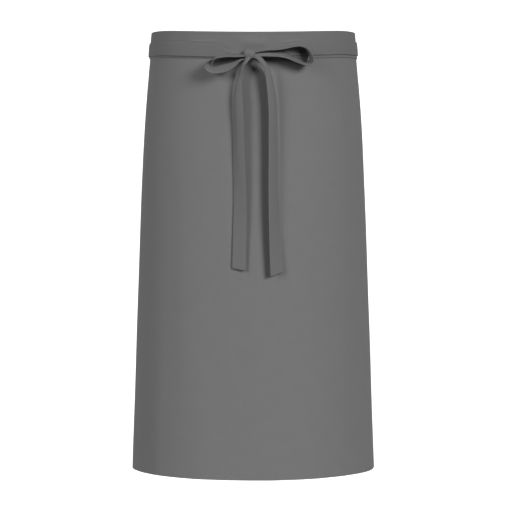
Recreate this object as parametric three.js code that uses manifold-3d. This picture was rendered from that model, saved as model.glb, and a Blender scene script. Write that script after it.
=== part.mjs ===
// A long waist apron as it looks when it is worn and tied in a bow at the front.
// Millimetres, +Z up. The front faces -Y, and +X is on the right of someone who looks at the front.
// The origin is the centre of the waist, at half the waistband's height at the front.
import * as THREE from 'three';
import { mergeVertices } from 'three/addons/utils/BufferGeometryUtils.js';
import Module from 'manifold-3d';

const wasm = await Module();
wasm.setup();

// Flat sizes of the cloth pieces
const SKIRT_WIDTH = 900;
const APRON_LENGTH = 800;
const BAND_HEIGHT = 48;
const TIE_WIDTH = 25;

// Thickness of the cloth, and the space between neighbouring pieces
const SKIRT_CLOTH = 1.2;
const BAND_CLOTH = 1.0;
const TIE_CLOTH = 2.0;
const CLEARANCE = 0.3;

// The waistband ends this far past the panel's side edges, and its folded rim is rounded by this much
const BAND_END = 1.5;
const RIM_ROUND = 0.6;

// Half-widths and half-depths of the hollow that the waist and hips fill
const WAIST_HALF_WIDTH = 181.5;
const WAIST_HALF_DEPTH = 122;
const HEM_HALF_WIDTH = 217.5;
const HEM_HALF_DEPTH = 150;

// The rim lies lower behind than at the front by RIM_DROP, and the hem by HEM_DROP
const RIM_DROP = 12;
const HEM_DROP = 2;

// Depth of the panel's soft folds at the hem, and the power by which they grow on the way down
const FOLD_DEPTH = 11;
const FOLD_POWER = 1.2;

// Height of the ties' centre lines below the rim, and how far they ride up at the sides
const TIE_LEFT_DOWN = 33.7;
const TIE_RIGHT_DOWN = 31.6;
const TIE_SIDE_LIFT = 1.5;

// Where the right-hand tie starts behind, above the left-hand one, the width it is gathered to, and
// the length round the side over which both ties widen again
const CROSSING_START_DOWN = 12;
const CROSSING_START_WIDTH = 17;
const CROSSING_WIDTH = 20;
const CROSSING_EASE = 122;

// The ties narrow towards the knot over these lengths
const GATHER_LEFT = 62;
const GATHER_RIGHT = 88;

// The knot, and how far its centre lies aside of the middle and below the rim
const KNOT_WIDTH = 19;
const KNOT_HEIGHT = 16;
const KNOT_DEPTH = 15;
const KNOT_ASIDE = -5.7;
const KNOT_DOWN = 42;

// The bow's loops, from the knot's centre to their tips, and how far they rise or hang
const LOOP_LEFT_REACH = 73;
const LOOP_LEFT_HANG = 25;
const LOOP_RIGHT_REACH = 108;
const LOOP_RIGHT_RISE = 17;

// The hanging ends, from the knot's centre down, how far aside they hang, and how far they stand off
const TAIL_LEFT_LENGTH = 380;
const TAIL_LEFT_ASIDE = 21;
const TAIL_LEFT_OFF = 15;
const TAIL_RIGHT_LENGTH = 388;
const TAIL_RIGHT_ASIDE = 46.5;
const TAIL_RIGHT_OFF = 17;

// How much farther down each end's right corner reaches than its left one, a share of the tie's
// width, and the power by which that slant comes in only near the cut
const TAIL_LEFT_SLANT = 0.15;
const TAIL_RIGHT_SLANT = -0.2;
const SLANT_POWER = 12;

const RIM_HEIGHT = BAND_HEIGHT / 2;
const BAND_HALF = SKIRT_WIDTH / 2 + BAND_END;
const BAND_OUTSIDE = SKIRT_CLOTH + CLEARANCE + BAND_CLOTH;
const BAND_INSIDE = -CLEARANCE - BAND_CLOTH;
const TIE_OUT = BAND_OUTSIDE + CLEARANCE + TIE_CLOTH / 2;
const KNOT_OUT = TIE_OUT + TIE_CLOTH / 2 + CLEARANCE + KNOT_DEPTH / 2;

// How the form widens: down is a share of the apron's length, wide and deep are shares of the
// difference between the waist and the hem
const FORM = [
  { down: 0.0, wide: 0.0, deep: 0.0 },
  { down: 0.07, wide: 0.13, deep: 0.09 },
  { down: 0.14, wide: 0.27, deep: 0.2 },
  { down: 0.22, wide: 0.4, deep: 0.34 },
  { down: 0.32, wide: 0.51, deep: 0.5 },
  { down: 0.5, wide: 0.66, deep: 0.7 },
  { down: 0.75, wide: 0.845, deep: 0.88 },
  { down: 1.0, wide: 1.0, deep: 1.0 },
];

// How far the rim has dropped: round runs from the front, 0, over the side, 0.5, to the back, 1
const RIM = [
  { round: 0.0, drop: 0.0 },
  { round: 0.3, drop: 0.0 },
  { round: 0.36, drop: 0.06 },
  { round: 0.42, drop: 0.24 },
  { round: 0.5, drop: 0.56 },
  { round: 0.6, drop: 0.84 },
  { round: 0.75, drop: 1.0 },
  { round: 1.0, drop: 1.0 },
];

// Soft upright folds of the panel: at and spread are shares of half its width, from the centre to
// the right or left edge, and depth is a share of FOLD_DEPTH, outward where positive
const FOLDS = [
  { at: -1.0, spread: 0.1, depth: 0.95 },
  { at: -0.83, spread: 0.09, depth: -0.6 },
  { at: -0.67, spread: 0.08, depth: 0.3 },
  { at: -0.3, spread: 0.1, depth: 0.1 },
  { at: -0.08, spread: 0.08, depth: -0.07 },
  { at: 0.17, spread: 0.09, depth: 0.09 },
  { at: 0.36, spread: 0.08, depth: -0.08 },
  { at: 0.7, spread: 0.09, depth: 0.35 },
  { at: 0.86, spread: 0.08, depth: -0.55 },
  { at: 1.0, spread: 0.09, depth: 1.0 },
];

// The right-hand tie as it crosses behind, over the other one: along is a share of the opening
// between the waistband's ends, low runs from its start to its height at the side, wide runs from
// its start's width to the crossing's, and out runs from in line with the waistband to over it
const CROSSING_OVER = [
  { along: 0.0, low: 0.0, wide: 0.0, out: 0.0 },
  { along: 0.06, low: 0.01, wide: 0.0, out: 0.02 },
  { along: 0.16, low: 0.03, wide: 0.1, out: 0.55 },
  { along: 0.27, low: 0.1, wide: 0.3, out: 1.0 },
  { along: 0.5, low: 0.45, wide: 0.7, out: 1.0 },
  { along: 0.8, low: 0.88, wide: 1.0, out: 1.0 },
  { along: 1.0, low: 1.0, wide: 1.0, out: 1.0 },
];

// The left-hand tie as it crosses behind, under the other one
const CROSSING_UNDER = [
  { along: 0.0, out: 0.0 },
  { along: 0.35, out: 0.0 },
  { along: 0.7, out: 0.0 },
  { along: 0.82, out: 0.5 },
  { along: 0.92, out: 1.0 },
  { along: 1.0, out: 1.0 },
];

// The ties' upper edges near the knot: away is a share of the gathered length, from the knot, and
// fall is how far the upper edge has come down, a share of the tie's width
const GATHER_LEFT_EDGE = [
  { away: 0.0, fall: 0.66 },
  { away: 0.27, fall: 0.63 },
  { away: 0.48, fall: 0.54 },
  { away: 0.64, fall: 0.42 },
  { away: 0.8, fall: 0.18 },
  { away: 0.92, fall: 0.03 },
  { away: 1.0, fall: 0.0 },
];
const GATHER_RIGHT_EDGE = [
  { away: 0.0, fall: 0.7 },
  { away: 0.14, fall: 0.64 },
  { away: 0.32, fall: 0.49 },
  { away: 0.5, fall: 0.32 },
  { away: 0.67, fall: 0.15 },
  { away: 0.85, fall: 0.04 },
  { away: 1.0, fall: 0.0 },
];

// The loops' centre lines from the knot along the upper strand, round the tip and back: reach is a
// share of the loop's reach, rise a share of its rise or hang, wide a share of the tie's width,
// roll the turn of the strip about its own length in degrees
const LOOP_LEFT = [
  { reach: 0.03, rise: 0.03, wide: 0.36, roll: -9 },
  { reach: 0.17, rise: 0.01, wide: 0.48, roll: -9 },
  { reach: 0.33, rise: -0.01, wide: 0.72, roll: -9 },
  { reach: 0.49, rise: 0.0, wide: 0.9, roll: -9 },
  { reach: 0.65, rise: -0.04, wide: 1.0, roll: -9 },
  { reach: 0.8, rise: -0.14, wide: 1.0, roll: -7 },
  { reach: 0.91, rise: -0.3, wide: 1.0, roll: -3 },
  { reach: 0.98, rise: -0.49, wide: 1.0, roll: 3 },
  { reach: 1.0, rise: -0.68, wide: 1.0, roll: 10 },
  { reach: 0.97, rise: -0.85, wide: 1.0, roll: 18 },
  { reach: 0.9, rise: -0.97, wide: 1.0, roll: 26 },
  { reach: 0.79, rise: -1.0, wide: 1.0, roll: 31 },
  { reach: 0.65, rise: -0.93, wide: 1.0, roll: 33 },
  { reach: 0.49, rise: -0.77, wide: 0.9, roll: 31 },
  { reach: 0.34, rise: -0.53, wide: 0.66, roll: 27 },
  { reach: 0.21, rise: -0.31, wide: 0.44, roll: 20 },
  { reach: 0.05, rise: -0.18, wide: 0.36, roll: 12 },
];
const LOOP_RIGHT = [
  { reach: 0.03, rise: 0.24, wide: 0.34, roll: 18 },
  { reach: 0.15, rise: 0.33, wide: 0.42, roll: 16 },
  { reach: 0.32, rise: 0.5, wide: 0.76, roll: 11 },
  { reach: 0.45, rise: 0.64, wide: 0.95, roll: 7 },
  { reach: 0.56, rise: 0.75, wide: 1.0, roll: 5 },
  { reach: 0.67, rise: 0.9, wide: 1.0, roll: 3 },
  { reach: 0.78, rise: 1.0, wide: 1.0, roll: 0 },
  { reach: 0.88, rise: 0.8, wide: 1.0, roll: 2 },
  { reach: 0.95, rise: 0.37, wide: 1.0, roll: 6 },
  { reach: 0.995, rise: -0.2, wide: 1.0, roll: 6 },
  { reach: 0.99, rise: -0.66, wide: 1.0, roll: 0 },
  { reach: 0.93, rise: -0.94, wide: 1.0, roll: -12 },
  { reach: 0.83, rise: -0.76, wide: 1.0, roll: -23 },
  { reach: 0.7, rise: -0.4, wide: 1.0, roll: -28 },
  { reach: 0.58, rise: -0.06, wide: 1.0, roll: -29 },
  { reach: 0.45, rise: 0.08, wide: 0.95, roll: -28 },
  { reach: 0.32, rise: 0.1, wide: 0.78, roll: -26 },
  { reach: 0.15, rise: 0.04, wide: 0.42, roll: -22 },
  { reach: 0.03, rise: -0.02, wide: 0.34, roll: -18 },
];

// The hanging ends from the knot down: down is a share of the length, aside a share of the way
// aside, off a share of the distance from the panel, wide a share of the tie's width, turn how far
// the strip has turned about its own length from facing the front, in degrees, and fold how far its
// middle stands proud, a share of its width
const TAIL_LEFT = [
  { down: 0.004, aside: -0.04, off: 1.14, wide: 0.28, turn: 6, fold: 0.0 },
  { down: 0.022, aside: -0.25, off: 1.36, wide: 0.32, turn: 12, fold: 0.1 },
  { down: 0.038, aside: -0.48, off: 1.32, wide: 0.4, turn: 24, fold: 0.18 },
  { down: 0.06, aside: -0.78, off: 1.18, wide: 0.52, turn: 36, fold: 0.24 },
  { down: 0.095, aside: -0.92, off: 1.04, wide: 0.72, turn: 46, fold: 0.24 },
  { down: 0.14, aside: -0.98, off: 0.94, wide: 0.86, turn: 50, fold: 0.24 },
  { down: 0.22, aside: -1.0, off: 0.82, wide: 1.0, turn: 50, fold: 0.2 },
  { down: 0.35, aside: -0.95, off: 0.66, wide: 1.0, turn: 41, fold: 0.12 },
  { down: 0.49, aside: -0.9, off: 0.52, wide: 1.0, turn: 32, fold: 0.06 },
  { down: 0.62, aside: -0.85, off: 0.42, wide: 1.0, turn: 26, fold: 0.03 },
  { down: 0.75, aside: -0.83, off: 0.32, wide: 1.0, turn: 16, fold: 0.01 },
  { down: 0.88, aside: -0.87, off: 0.27, wide: 1.0, turn: 9, fold: 0.0 },
  { down: 1.0, aside: -0.93, off: 0.25, wide: 1.0, turn: 8, fold: 0.0 },
];
const TAIL_RIGHT = [
  { down: -0.008, aside: 0.08, off: 0.92, wide: 0.28, turn: -4, fold: 0.0 },
  { down: -0.005, aside: 0.24, off: 1.3, wide: 0.34, turn: -8, fold: 0.06 },
  { down: 0.012, aside: 0.4, off: 1.42, wide: 0.4, turn: -12, fold: 0.12 },
  { down: 0.035, aside: 0.52, off: 1.4, wide: 0.48, turn: -26, fold: 0.16 },
  { down: 0.075, aside: 0.65, off: 1.12, wide: 0.66, turn: -44, fold: 0.2 },
  { down: 0.15, aside: 0.76, off: 0.9, wide: 0.9, turn: -52, fold: 0.2 },
  { down: 0.24, aside: 0.84, off: 0.82, wide: 1.0, turn: -50, fold: 0.14 },
  { down: 0.4, aside: 0.865, off: 0.78, wide: 1.0, turn: -44, fold: 0.08 },
  { down: 0.54, aside: 0.87, off: 0.75, wide: 1.0, turn: -41, fold: 0.06 },
  { down: 0.68, aside: 0.885, off: 0.7, wide: 1.0, turn: -38, fold: 0.04 },
  { down: 0.84, aside: 0.93, off: 0.62, wide: 1.0, turn: -32, fold: 0.02 },
  { down: 1.0, aside: 1.0, off: 0.55, wide: 1.0, turn: -20, fold: 0.0 },
];

// How fine the meshes are
const SKIRT_COLUMNS = 72;
const SKIRT_ROWS = 14;
const WRAP_STEPS = 44;
const LOOP_STEPS = 30;
const TAIL_STEPS = 26;
const ARC_STEPS = 360;
const RADIANS = Math.PI / 180;

// A smooth reading of one column of a table at a value of its key column
function read(table, key, value, column) {
  const last = table.length - 1;
  let row = 0;
  while (row < last - 1 && value > table[row + 1][key]) row += 1;
  const slope = (i) => {
    const before = table[Math.max(i - 1, 0)];
    const after = table[Math.min(i + 1, last)];
    return (after[column] - before[column]) / (after[key] - before[key]);
  };
  const from = table[row];
  const to = table[row + 1];
  const span = to[key] - from[key];
  const t = Math.min(Math.max((value - from[key]) / span, 0), 1);
  const rise = t * t * (3 - 2 * t);
  const start = t * (1 - t) * (1 - t) * span * slope(row);
  const end = t * t * (t - 1) * span * slope(row + 1);
  return from[column] + (to[column] - from[column]) * rise + start + end;
}

// Half-width and half-depth of the form at a distance below the rim
function halfAxes(down) {
  const share = down / APRON_LENGTH;
  return {
    wide: WAIST_HALF_WIDTH + (HEM_HALF_WIDTH - WAIST_HALF_WIDTH) * read(FORM, 'down', share, 'wide'),
    deep: WAIST_HALF_DEPTH + (HEM_HALF_DEPTH - WAIST_HALF_DEPTH) * read(FORM, 'down', share, 'deep'),
  };
}

// Running length of half an ellipse, from the front over the side to the back
function halfArc(wide, deep) {
  const lengths = [0];
  for (let i = 1; i <= ARC_STEPS; i += 1) {
    const angle = ((i - 0.5) / ARC_STEPS) * Math.PI;
    const step = Math.hypot(wide * Math.cos(angle), deep * Math.sin(angle));
    lengths.push(lengths[i - 1] + (step * Math.PI) / ARC_STEPS);
  }
  return lengths;
}

// Angle round the ellipse at a length from the front; lengths past the back go on round it
function angleAt(lengths, length) {
  const half = lengths[ARC_STEPS];
  const turn = Math.abs(length) / half;
  const folded = (turn > 1 ? 2 - turn : turn) * half;
  let i = 0;
  while (i < ARC_STEPS - 1 && lengths[i + 1] < folded) i += 1;
  const part = (folded - lengths[i]) / (lengths[i + 1] - lengths[i]);
  const angle = ((i + part) / ARC_STEPS) * Math.PI;
  return Math.sign(length) * (turn > 1 ? 2 * Math.PI - angle : angle);
}

// The opening between the waistband's ends behind, measured round the form
function openingAt(down) {
  const { wide, deep } = halfAxes(down);
  return 2 * (halfArc(wide, deep)[ARC_STEPS] - BAND_HALF);
}

// A place on the form: side is the length round it from the front centre, down the distance below
// the rim and out the distance outwards. Past the waistband's end, side goes on across the opening
// as at the left-hand tie, whatever the opening is at that height.
function place(side, down, out) {
  const { wide, deep } = halfAxes(down);
  const lengths = halfArc(wide, deep);
  const past = Math.max(Math.abs(side) - BAND_HALF, 0) / OPENING;
  const length = Math.min(Math.abs(side), BAND_HALF) + past * openingAt(down);
  const angle = angleAt(lengths, Math.sign(side) * length);
  const turn = length / lengths[ARC_STEPS];
  const round = turn > 1 ? 2 - turn : turn;
  const fade = Math.min(Math.max(down / APRON_LENGTH, 0), 1);
  const sag = read(RIM, 'round', round, 'drop') * (RIM_DROP + (HEM_DROP - RIM_DROP) * fade);
  const normal = new THREE.Vector2(Math.sin(angle) / wide, -Math.cos(angle) / deep).normalize();
  return new THREE.Vector3(
    wide * Math.sin(angle) + normal.x * out,
    -deep * Math.cos(angle) + normal.y * out,
    RIM_HEIGHT - sag - down,
  );
}

const OPENING = openingAt(TIE_LEFT_DOWN);

// A body from points and triangles, with its faces turned outwards
function body(points, triangles) {
  const position = new Float32Array(points.flatMap((p) => [p.x, p.y, p.z]));
  let volume = 0;
  for (const [a, b, c] of triangles) {
    volume += points[a].dot(new THREE.Vector3().crossVectors(points[b], points[c]));
  }
  const index = triangles.flatMap(([a, b, c]) => (volume > 0 ? [a, b, c] : [a, c, b]));
  const geometry = new THREE.BufferGeometry();
  geometry.setAttribute('position', new THREE.BufferAttribute(position, 3));
  geometry.setIndex(index);
  return geometry;
}

// A wall of cloth through stations, each with an outer and an inner line of as many points
function wall(stations) {
  const across = stations[0].outer.length;
  const ring = 2 * across;
  const points = stations.flatMap(({ outer, inner }) => [...outer, ...[...inner].reverse()]);
  const triangles = [];
  for (let s = 0; s + 1 < stations.length; s += 1) {
    for (let i = 0; i < ring; i += 1) {
      const a = s * ring + i;
      const b = s * ring + ((i + 1) % ring);
      triangles.push([a, b, b + ring], [a, b + ring, a + ring]);
    }
  }
  const lastRing = (stations.length - 1) * ring;
  for (let i = 0; i + 1 < across; i += 1) {
    const j = ring - 1 - i;
    triangles.push([i, j, j - 1], [i, j - 1, i + 1]);
    triangles.push([lastRing + i, lastRing + j - 1, lastRing + j]);
    triangles.push([lastRing + i, lastRing + i + 1, lastRing + j - 1]);
  }
  return body(points, triangles);
}

// How far the panel's folds carry its cloth outwards, more towards the hem
function foldOut(side, down) {
  const share = (2 * side) / SKIRT_WIDTH;
  const below = Math.max(down - BAND_HEIGHT, 0) / (APRON_LENGTH - BAND_HEIGHT);
  const grown = Math.pow(below, FOLD_POWER);
  let out = 0;
  for (const fold of FOLDS) {
    out += fold.depth * Math.exp(-Math.pow((share - fold.at) / fold.spread, 2));
  }
  return out * FOLD_DEPTH * grown;
}

function skirtPanel() {
  const top = BAND_CLOTH + RIM_ROUND + CLEARANCE;
  const stations = [];
  for (let c = 0; c <= SKIRT_COLUMNS; c += 1) {
    const side = (c / SKIRT_COLUMNS - 0.5) * SKIRT_WIDTH;
    const outer = [];
    const inner = [];
    for (let r = 0; r <= SKIRT_ROWS; r += 1) {
      const down = r === 0 ? top : BAND_HEIGHT + (APRON_LENGTH - BAND_HEIGHT) * ((r - 1) / (SKIRT_ROWS - 1));
      const out = foldOut(side, down);
      outer.push(place(side, down, out + SKIRT_CLOTH));
      inner.push(place(side, down, out));
    }
    stations.push({ outer, inner });
  }
  return wall(stations);
}

// The waistband is one strip of cloth, folded over the panel's top edge
function waistband() {
  const middle = SKIRT_CLOTH / 2;
  const fold = [
    { out: BAND_OUTSIDE, down: BAND_HEIGHT },
    { out: BAND_OUTSIDE, down: BAND_HEIGHT / 2 },
    { out: BAND_OUTSIDE, down: BAND_CLOTH + RIM_ROUND },
    { out: middle, down: 0 },
    { out: BAND_INSIDE, down: BAND_CLOTH + RIM_ROUND },
    { out: BAND_INSIDE, down: BAND_HEIGHT / 2 },
    { out: BAND_INSIDE, down: BAND_HEIGHT },
  ];
  const stations = [];
  for (let c = 0; c <= SKIRT_COLUMNS; c += 1) {
    const side = (c / SKIRT_COLUMNS - 0.5) * 2 * BAND_HALF;
    const outer = fold.map(({ out, down }) => place(side, down, out));
    const inner = fold.map(({ out, down }) => {
      const atFold = out === middle;
      return place(side, atFold ? BAND_CLOTH : down, out - Math.sign(out - middle) * BAND_CLOTH);
    });
    stations.push({ outer, inner });
  }
  return wall(stations);
}

// A strip of tie along stations given in lengths round, down and out, as if the form were flat.
// Each has its roll, the turn in degrees about the strip's length from lying edge on to the form,
// its width, how far its middle stands proud and how far its right edge runs ahead of its left one.
function strip(stations) {
  const outwards = new THREE.Vector3(0, -1, 0);
  const flat = stations.map(({ side, down, out }) => new THREE.Vector3(side, -out, -down));
  const onForm = (v) => place(v.x, -v.z, -v.y);
  return wall(
    stations.map(({ roll, width, fold = 0, slant = 0 }, i) => {
      const before = flat[Math.max(i - 1, 0)];
      const after = flat[Math.min(i + 1, flat.length - 1)];
      const along = new THREE.Vector3().subVectors(after, before).normalize();
      const edgeOn = outwards.clone().addScaledVector(along, -outwards.dot(along)).normalize();
      const across = edgeOn.applyAxisAngle(along, roll * RADIANS);
      const face = new THREE.Vector3().crossVectors(along, across);
      const line = (offset) =>
        [-0.5, 0, 0.5].map((t) => {
          const proud = t === 0 ? fold * width : 0;
          const point = flat[i].clone().addScaledVector(across, t * width);
          point.addScaledVector(along, slant * t * width);
          return onForm(point.addScaledVector(face, proud + offset));
        });
      return { outer: line(TIE_CLOTH / 2), inner: line(-TIE_CLOTH / 2) };
    }),
  );
}

// A tie from its seam behind, round one side and to the middle under the knot. The hand is 1 for
// the tie that comes round the right side and -1 for the left one.
function tieWrap({ hand, down, crossing, gatherLength, gatherEdge, over }) {
  const half = BAND_HALF + OPENING / 2;
  const start = BAND_HALF + OPENING - CLEARANCE;
  const opening = start - BAND_HALF;
  const knotSide = hand * KNOT_ASIDE;
  const end = knotSide + CLEARANCE / 2;
  const inLine = SKIRT_CLOTH / 2;
  const lengths = crossing.map(({ along }) => start - along * opening);
  const plain = BAND_HALF - knotSide - gatherLength;
  for (let i = 1; i <= WRAP_STEPS; i += 1) lengths.push(BAND_HALF - (plain * i) / WRAP_STEPS);
  for (const { away } of [...gatherEdge].reverse().slice(1)) {
    lengths.push(Math.max(knotSide + away * gatherLength, end));
  }
  const stations = lengths.map((length) => {
    const along = Math.min((start - length) / opening, 1);
    const away = Math.min((length - knotSide) / gatherLength, 1);
    const round = Math.min(length / half, 1);
    const out = inLine + (TIE_OUT - inLine) * read(crossing, 'along', along, 'out');
    const lifted = down - TIE_SIDE_LIFT * Math.sin(Math.min(2 * round, 1) * Math.PI * 0.5);
    const settled = Math.min(Math.max((BAND_HALF - length) / CROSSING_EASE, 0), 1);
    const behindWidth = over
      ? CROSSING_START_WIDTH + (CROSSING_WIDTH - CROSSING_START_WIDTH) * read(crossing, 'along', along, 'wide')
      : CROSSING_WIDTH;
    const fullWidth = behindWidth + (TIE_WIDTH - behindWidth) * settled;
    const fall = read(gatherEdge, 'away', away, 'fall') * TIE_WIDTH;
    const low = over ? read(crossing, 'along', along, 'low') : 1;
    const centre = CROSSING_START_DOWN + (lifted - CROSSING_START_DOWN) * low + fall / 2;
    return { side: hand * length, down: centre, out, width: fullWidth - fall, roll: 90 };
  });
  return strip(stations);
}

function bowKnot() {
  const ball = new THREE.SphereGeometry(1, 18, 12);
  ball.deleteAttribute('normal');
  ball.deleteAttribute('uv');
  const knot = mergeVertices(ball);
  knot.scale(KNOT_WIDTH / 2, KNOT_DEPTH / 2, KNOT_HEIGHT / 2);
  const at = place(KNOT_ASIDE, KNOT_DOWN, KNOT_OUT);
  return knot.translate(at.x, at.y, at.z);
}

// Rows of a table spread evenly over a smooth run through them
function spread(table, steps) {
  const numbered = table.map((row, i) => ({ ...row, at: i / (table.length - 1) }));
  const columns = Object.keys(table[0]);
  return Array.from({ length: steps + 1 }, (_, i) => {
    const at = i / steps;
    return Object.fromEntries(columns.map((column) => [column, read(numbered, 'at', at, column)]));
  });
}

// One of the bow's loops
function bowLoop({ hand, reach, rise, table }) {
  return strip(
    spread(table, LOOP_STEPS).map((row) => {
      const standing = TIE_OUT + TIE_CLOTH / 2 + CLEARANCE + (row.wide * TIE_WIDTH) / 2;
      return {
        side: KNOT_ASIDE + hand * row.reach * reach,
        down: KNOT_DOWN - row.rise * rise,
        out: Math.max(standing, KNOT_OUT),
        width: row.wide * TIE_WIDTH,
        roll: row.roll,
      };
    }),
  );
}

// One of the hanging ends; slant is how far its right corner hangs below its left one, a share of
// the tie's width
function tail({ length, aside, off, slant, table }) {
  return strip(
    spread(table, TAIL_STEPS).map((row) => ({
      side: KNOT_ASIDE + row.aside * aside,
      down: KNOT_DOWN + row.down * length,
      out: SKIRT_CLOTH + row.off * off,
      width: row.wide * TIE_WIDTH,
      roll: row.turn - 90,
      fold: row.fold,
      slant: slant * Math.pow(Math.max(row.down, 0), SLANT_POWER),
    })),
  );
}

// A closed mesh as a solid that can be cut, and back again
function solidOf(geometry) {
  const merged = mergeVertices(geometry);
  return new wasm.Manifold(
    new wasm.Mesh({
      numProp: 3,
      vertProperties: new Float32Array(merged.attributes.position.array),
      triVerts: new Uint32Array(merged.index.array),
    }),
  );
}

function geometryOf(solid) {
  const mesh = solid.getMesh();
  const geometry = new THREE.BufferGeometry();
  geometry.setAttribute('position', new THREE.BufferAttribute(new Float32Array(mesh.vertProperties), 3));
  geometry.setIndex(Array.from(mesh.triVerts));
  return geometry;
}

// A strip that runs into the knot, cut back to the knot's surface and the clearance round it
function cutAtKnot(geometry, knot) {
  const at = place(KNOT_ASIDE, KNOT_DOWN, KNOT_OUT);
  const room = knot.clone().translate(-at.x, -at.y, -at.z);
  const wider = (size) => (size + 2 * CLEARANCE) / size;
  room.scale(wider(KNOT_WIDTH), wider(KNOT_DEPTH), wider(KNOT_HEIGHT)).translate(at.x, at.y, at.z);
  return geometryOf(solidOf(geometry).subtract(solidOf(room)));
}

const CLOTH_LOOK = { roughness: 0.92, metalness: 0.0, side: THREE.FrontSide };
const apron = new THREE.Group();
apron.name = 'waist_apron';

function add(name, geometry, colour) {
  const mesh = new THREE.Mesh(geometry, new THREE.MeshStandardMaterial({ color: colour, ...CLOTH_LOOK }));
  mesh.name = name;
  apron.add(mesh);
}

const knot = bowKnot();
add('skirt_panel', skirtPanel(), 0x717172);
add('waistband', waistband(), 0x6e6e6f);
add(
  'tie_wrap_left',
  tieWrap({
    hand: -1,
    down: TIE_LEFT_DOWN,
    crossing: CROSSING_UNDER,
    gatherLength: GATHER_LEFT,
    gatherEdge: GATHER_LEFT_EDGE,
    over: false,
  }),
  0x6c6c6d,
);
add(
  'tie_wrap_right',
  tieWrap({
    hand: 1,
    down: TIE_RIGHT_DOWN,
    crossing: CROSSING_OVER,
    gatherLength: GATHER_RIGHT,
    gatherEdge: GATHER_RIGHT_EDGE,
    over: true,
  }),
  0x6c6c6d,
);
add('bow_knot', knot, 0x6a6a6b);
add(
  'bow_loop_left',
  cutAtKnot(bowLoop({ hand: -1, reach: LOOP_LEFT_REACH, rise: LOOP_LEFT_HANG, table: LOOP_LEFT }), knot),
  0x6c6c6d,
);
add(
  'bow_loop_right',
  cutAtKnot(bowLoop({ hand: 1, reach: LOOP_RIGHT_REACH, rise: LOOP_RIGHT_RISE, table: LOOP_RIGHT }), knot),
  0x6c6c6d,
);
add(
  'tail_left',
  cutAtKnot(
    tail({
      length: TAIL_LEFT_LENGTH,
      aside: TAIL_LEFT_ASIDE,
      off: TAIL_LEFT_OFF,
      slant: TAIL_LEFT_SLANT,
      table: TAIL_LEFT,
    }),
    knot,
  ),
  0x6c6c6d,
);
add(
  'tail_right',
  cutAtKnot(
    tail({
      length: TAIL_RIGHT_LENGTH,
      aside: TAIL_RIGHT_ASIDE,
      off: TAIL_RIGHT_OFF,
      slant: TAIL_RIGHT_SLANT,
      table: TAIL_RIGHT,
    }),
    knot,
  ),
  0x6c6c6d,
);

export default apron;
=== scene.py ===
"""A long waist apron of plain grey cloth, as it looks when it is worn and tied in a bow.

Metres, +Z up. The front faces -Y, and +X is on the right of someone who looks at the front.
Cloth is laid out flat and then placed round the form that the waist and hips give it: side is
the length round the form from the front centre, down the distance below the rim and out the
distance outwards.
"""

import logging
import math
from dataclasses import dataclass
from enum import Enum
from functools import cached_property, lru_cache
from typing import Callable, NamedTuple, Sequence

import bmesh
import bpy
import numpy as np
from mathutils import Matrix, Quaternion, Vector


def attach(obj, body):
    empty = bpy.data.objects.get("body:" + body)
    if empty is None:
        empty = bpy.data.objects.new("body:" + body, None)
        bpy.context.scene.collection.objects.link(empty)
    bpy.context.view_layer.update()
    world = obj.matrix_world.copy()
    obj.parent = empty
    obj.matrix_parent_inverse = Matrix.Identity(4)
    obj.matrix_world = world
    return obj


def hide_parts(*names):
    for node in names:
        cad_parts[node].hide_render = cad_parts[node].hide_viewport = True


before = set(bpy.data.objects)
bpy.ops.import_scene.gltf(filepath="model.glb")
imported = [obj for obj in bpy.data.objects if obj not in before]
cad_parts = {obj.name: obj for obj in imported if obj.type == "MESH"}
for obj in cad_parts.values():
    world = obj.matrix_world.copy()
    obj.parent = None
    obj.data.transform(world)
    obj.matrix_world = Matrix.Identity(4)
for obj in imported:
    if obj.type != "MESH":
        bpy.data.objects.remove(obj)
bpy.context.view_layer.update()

log = logging.getLogger("waist_apron")

MM = 0.001
UV_NAME = "cloth_flat"
BODY = "root"
RING_STEPS = 360


class Slot(Enum):
    """The record's material slots."""

    SKIRT = "skirt_cloth"
    BAND = "band_cloth"
    TIE = "tie_cloth"


class Hand(Enum):
    """The side of the front centre on which a piece lies, as the viewer sees it."""

    LEFT = -1
    RIGHT = 1


# Smooth tables


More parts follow.
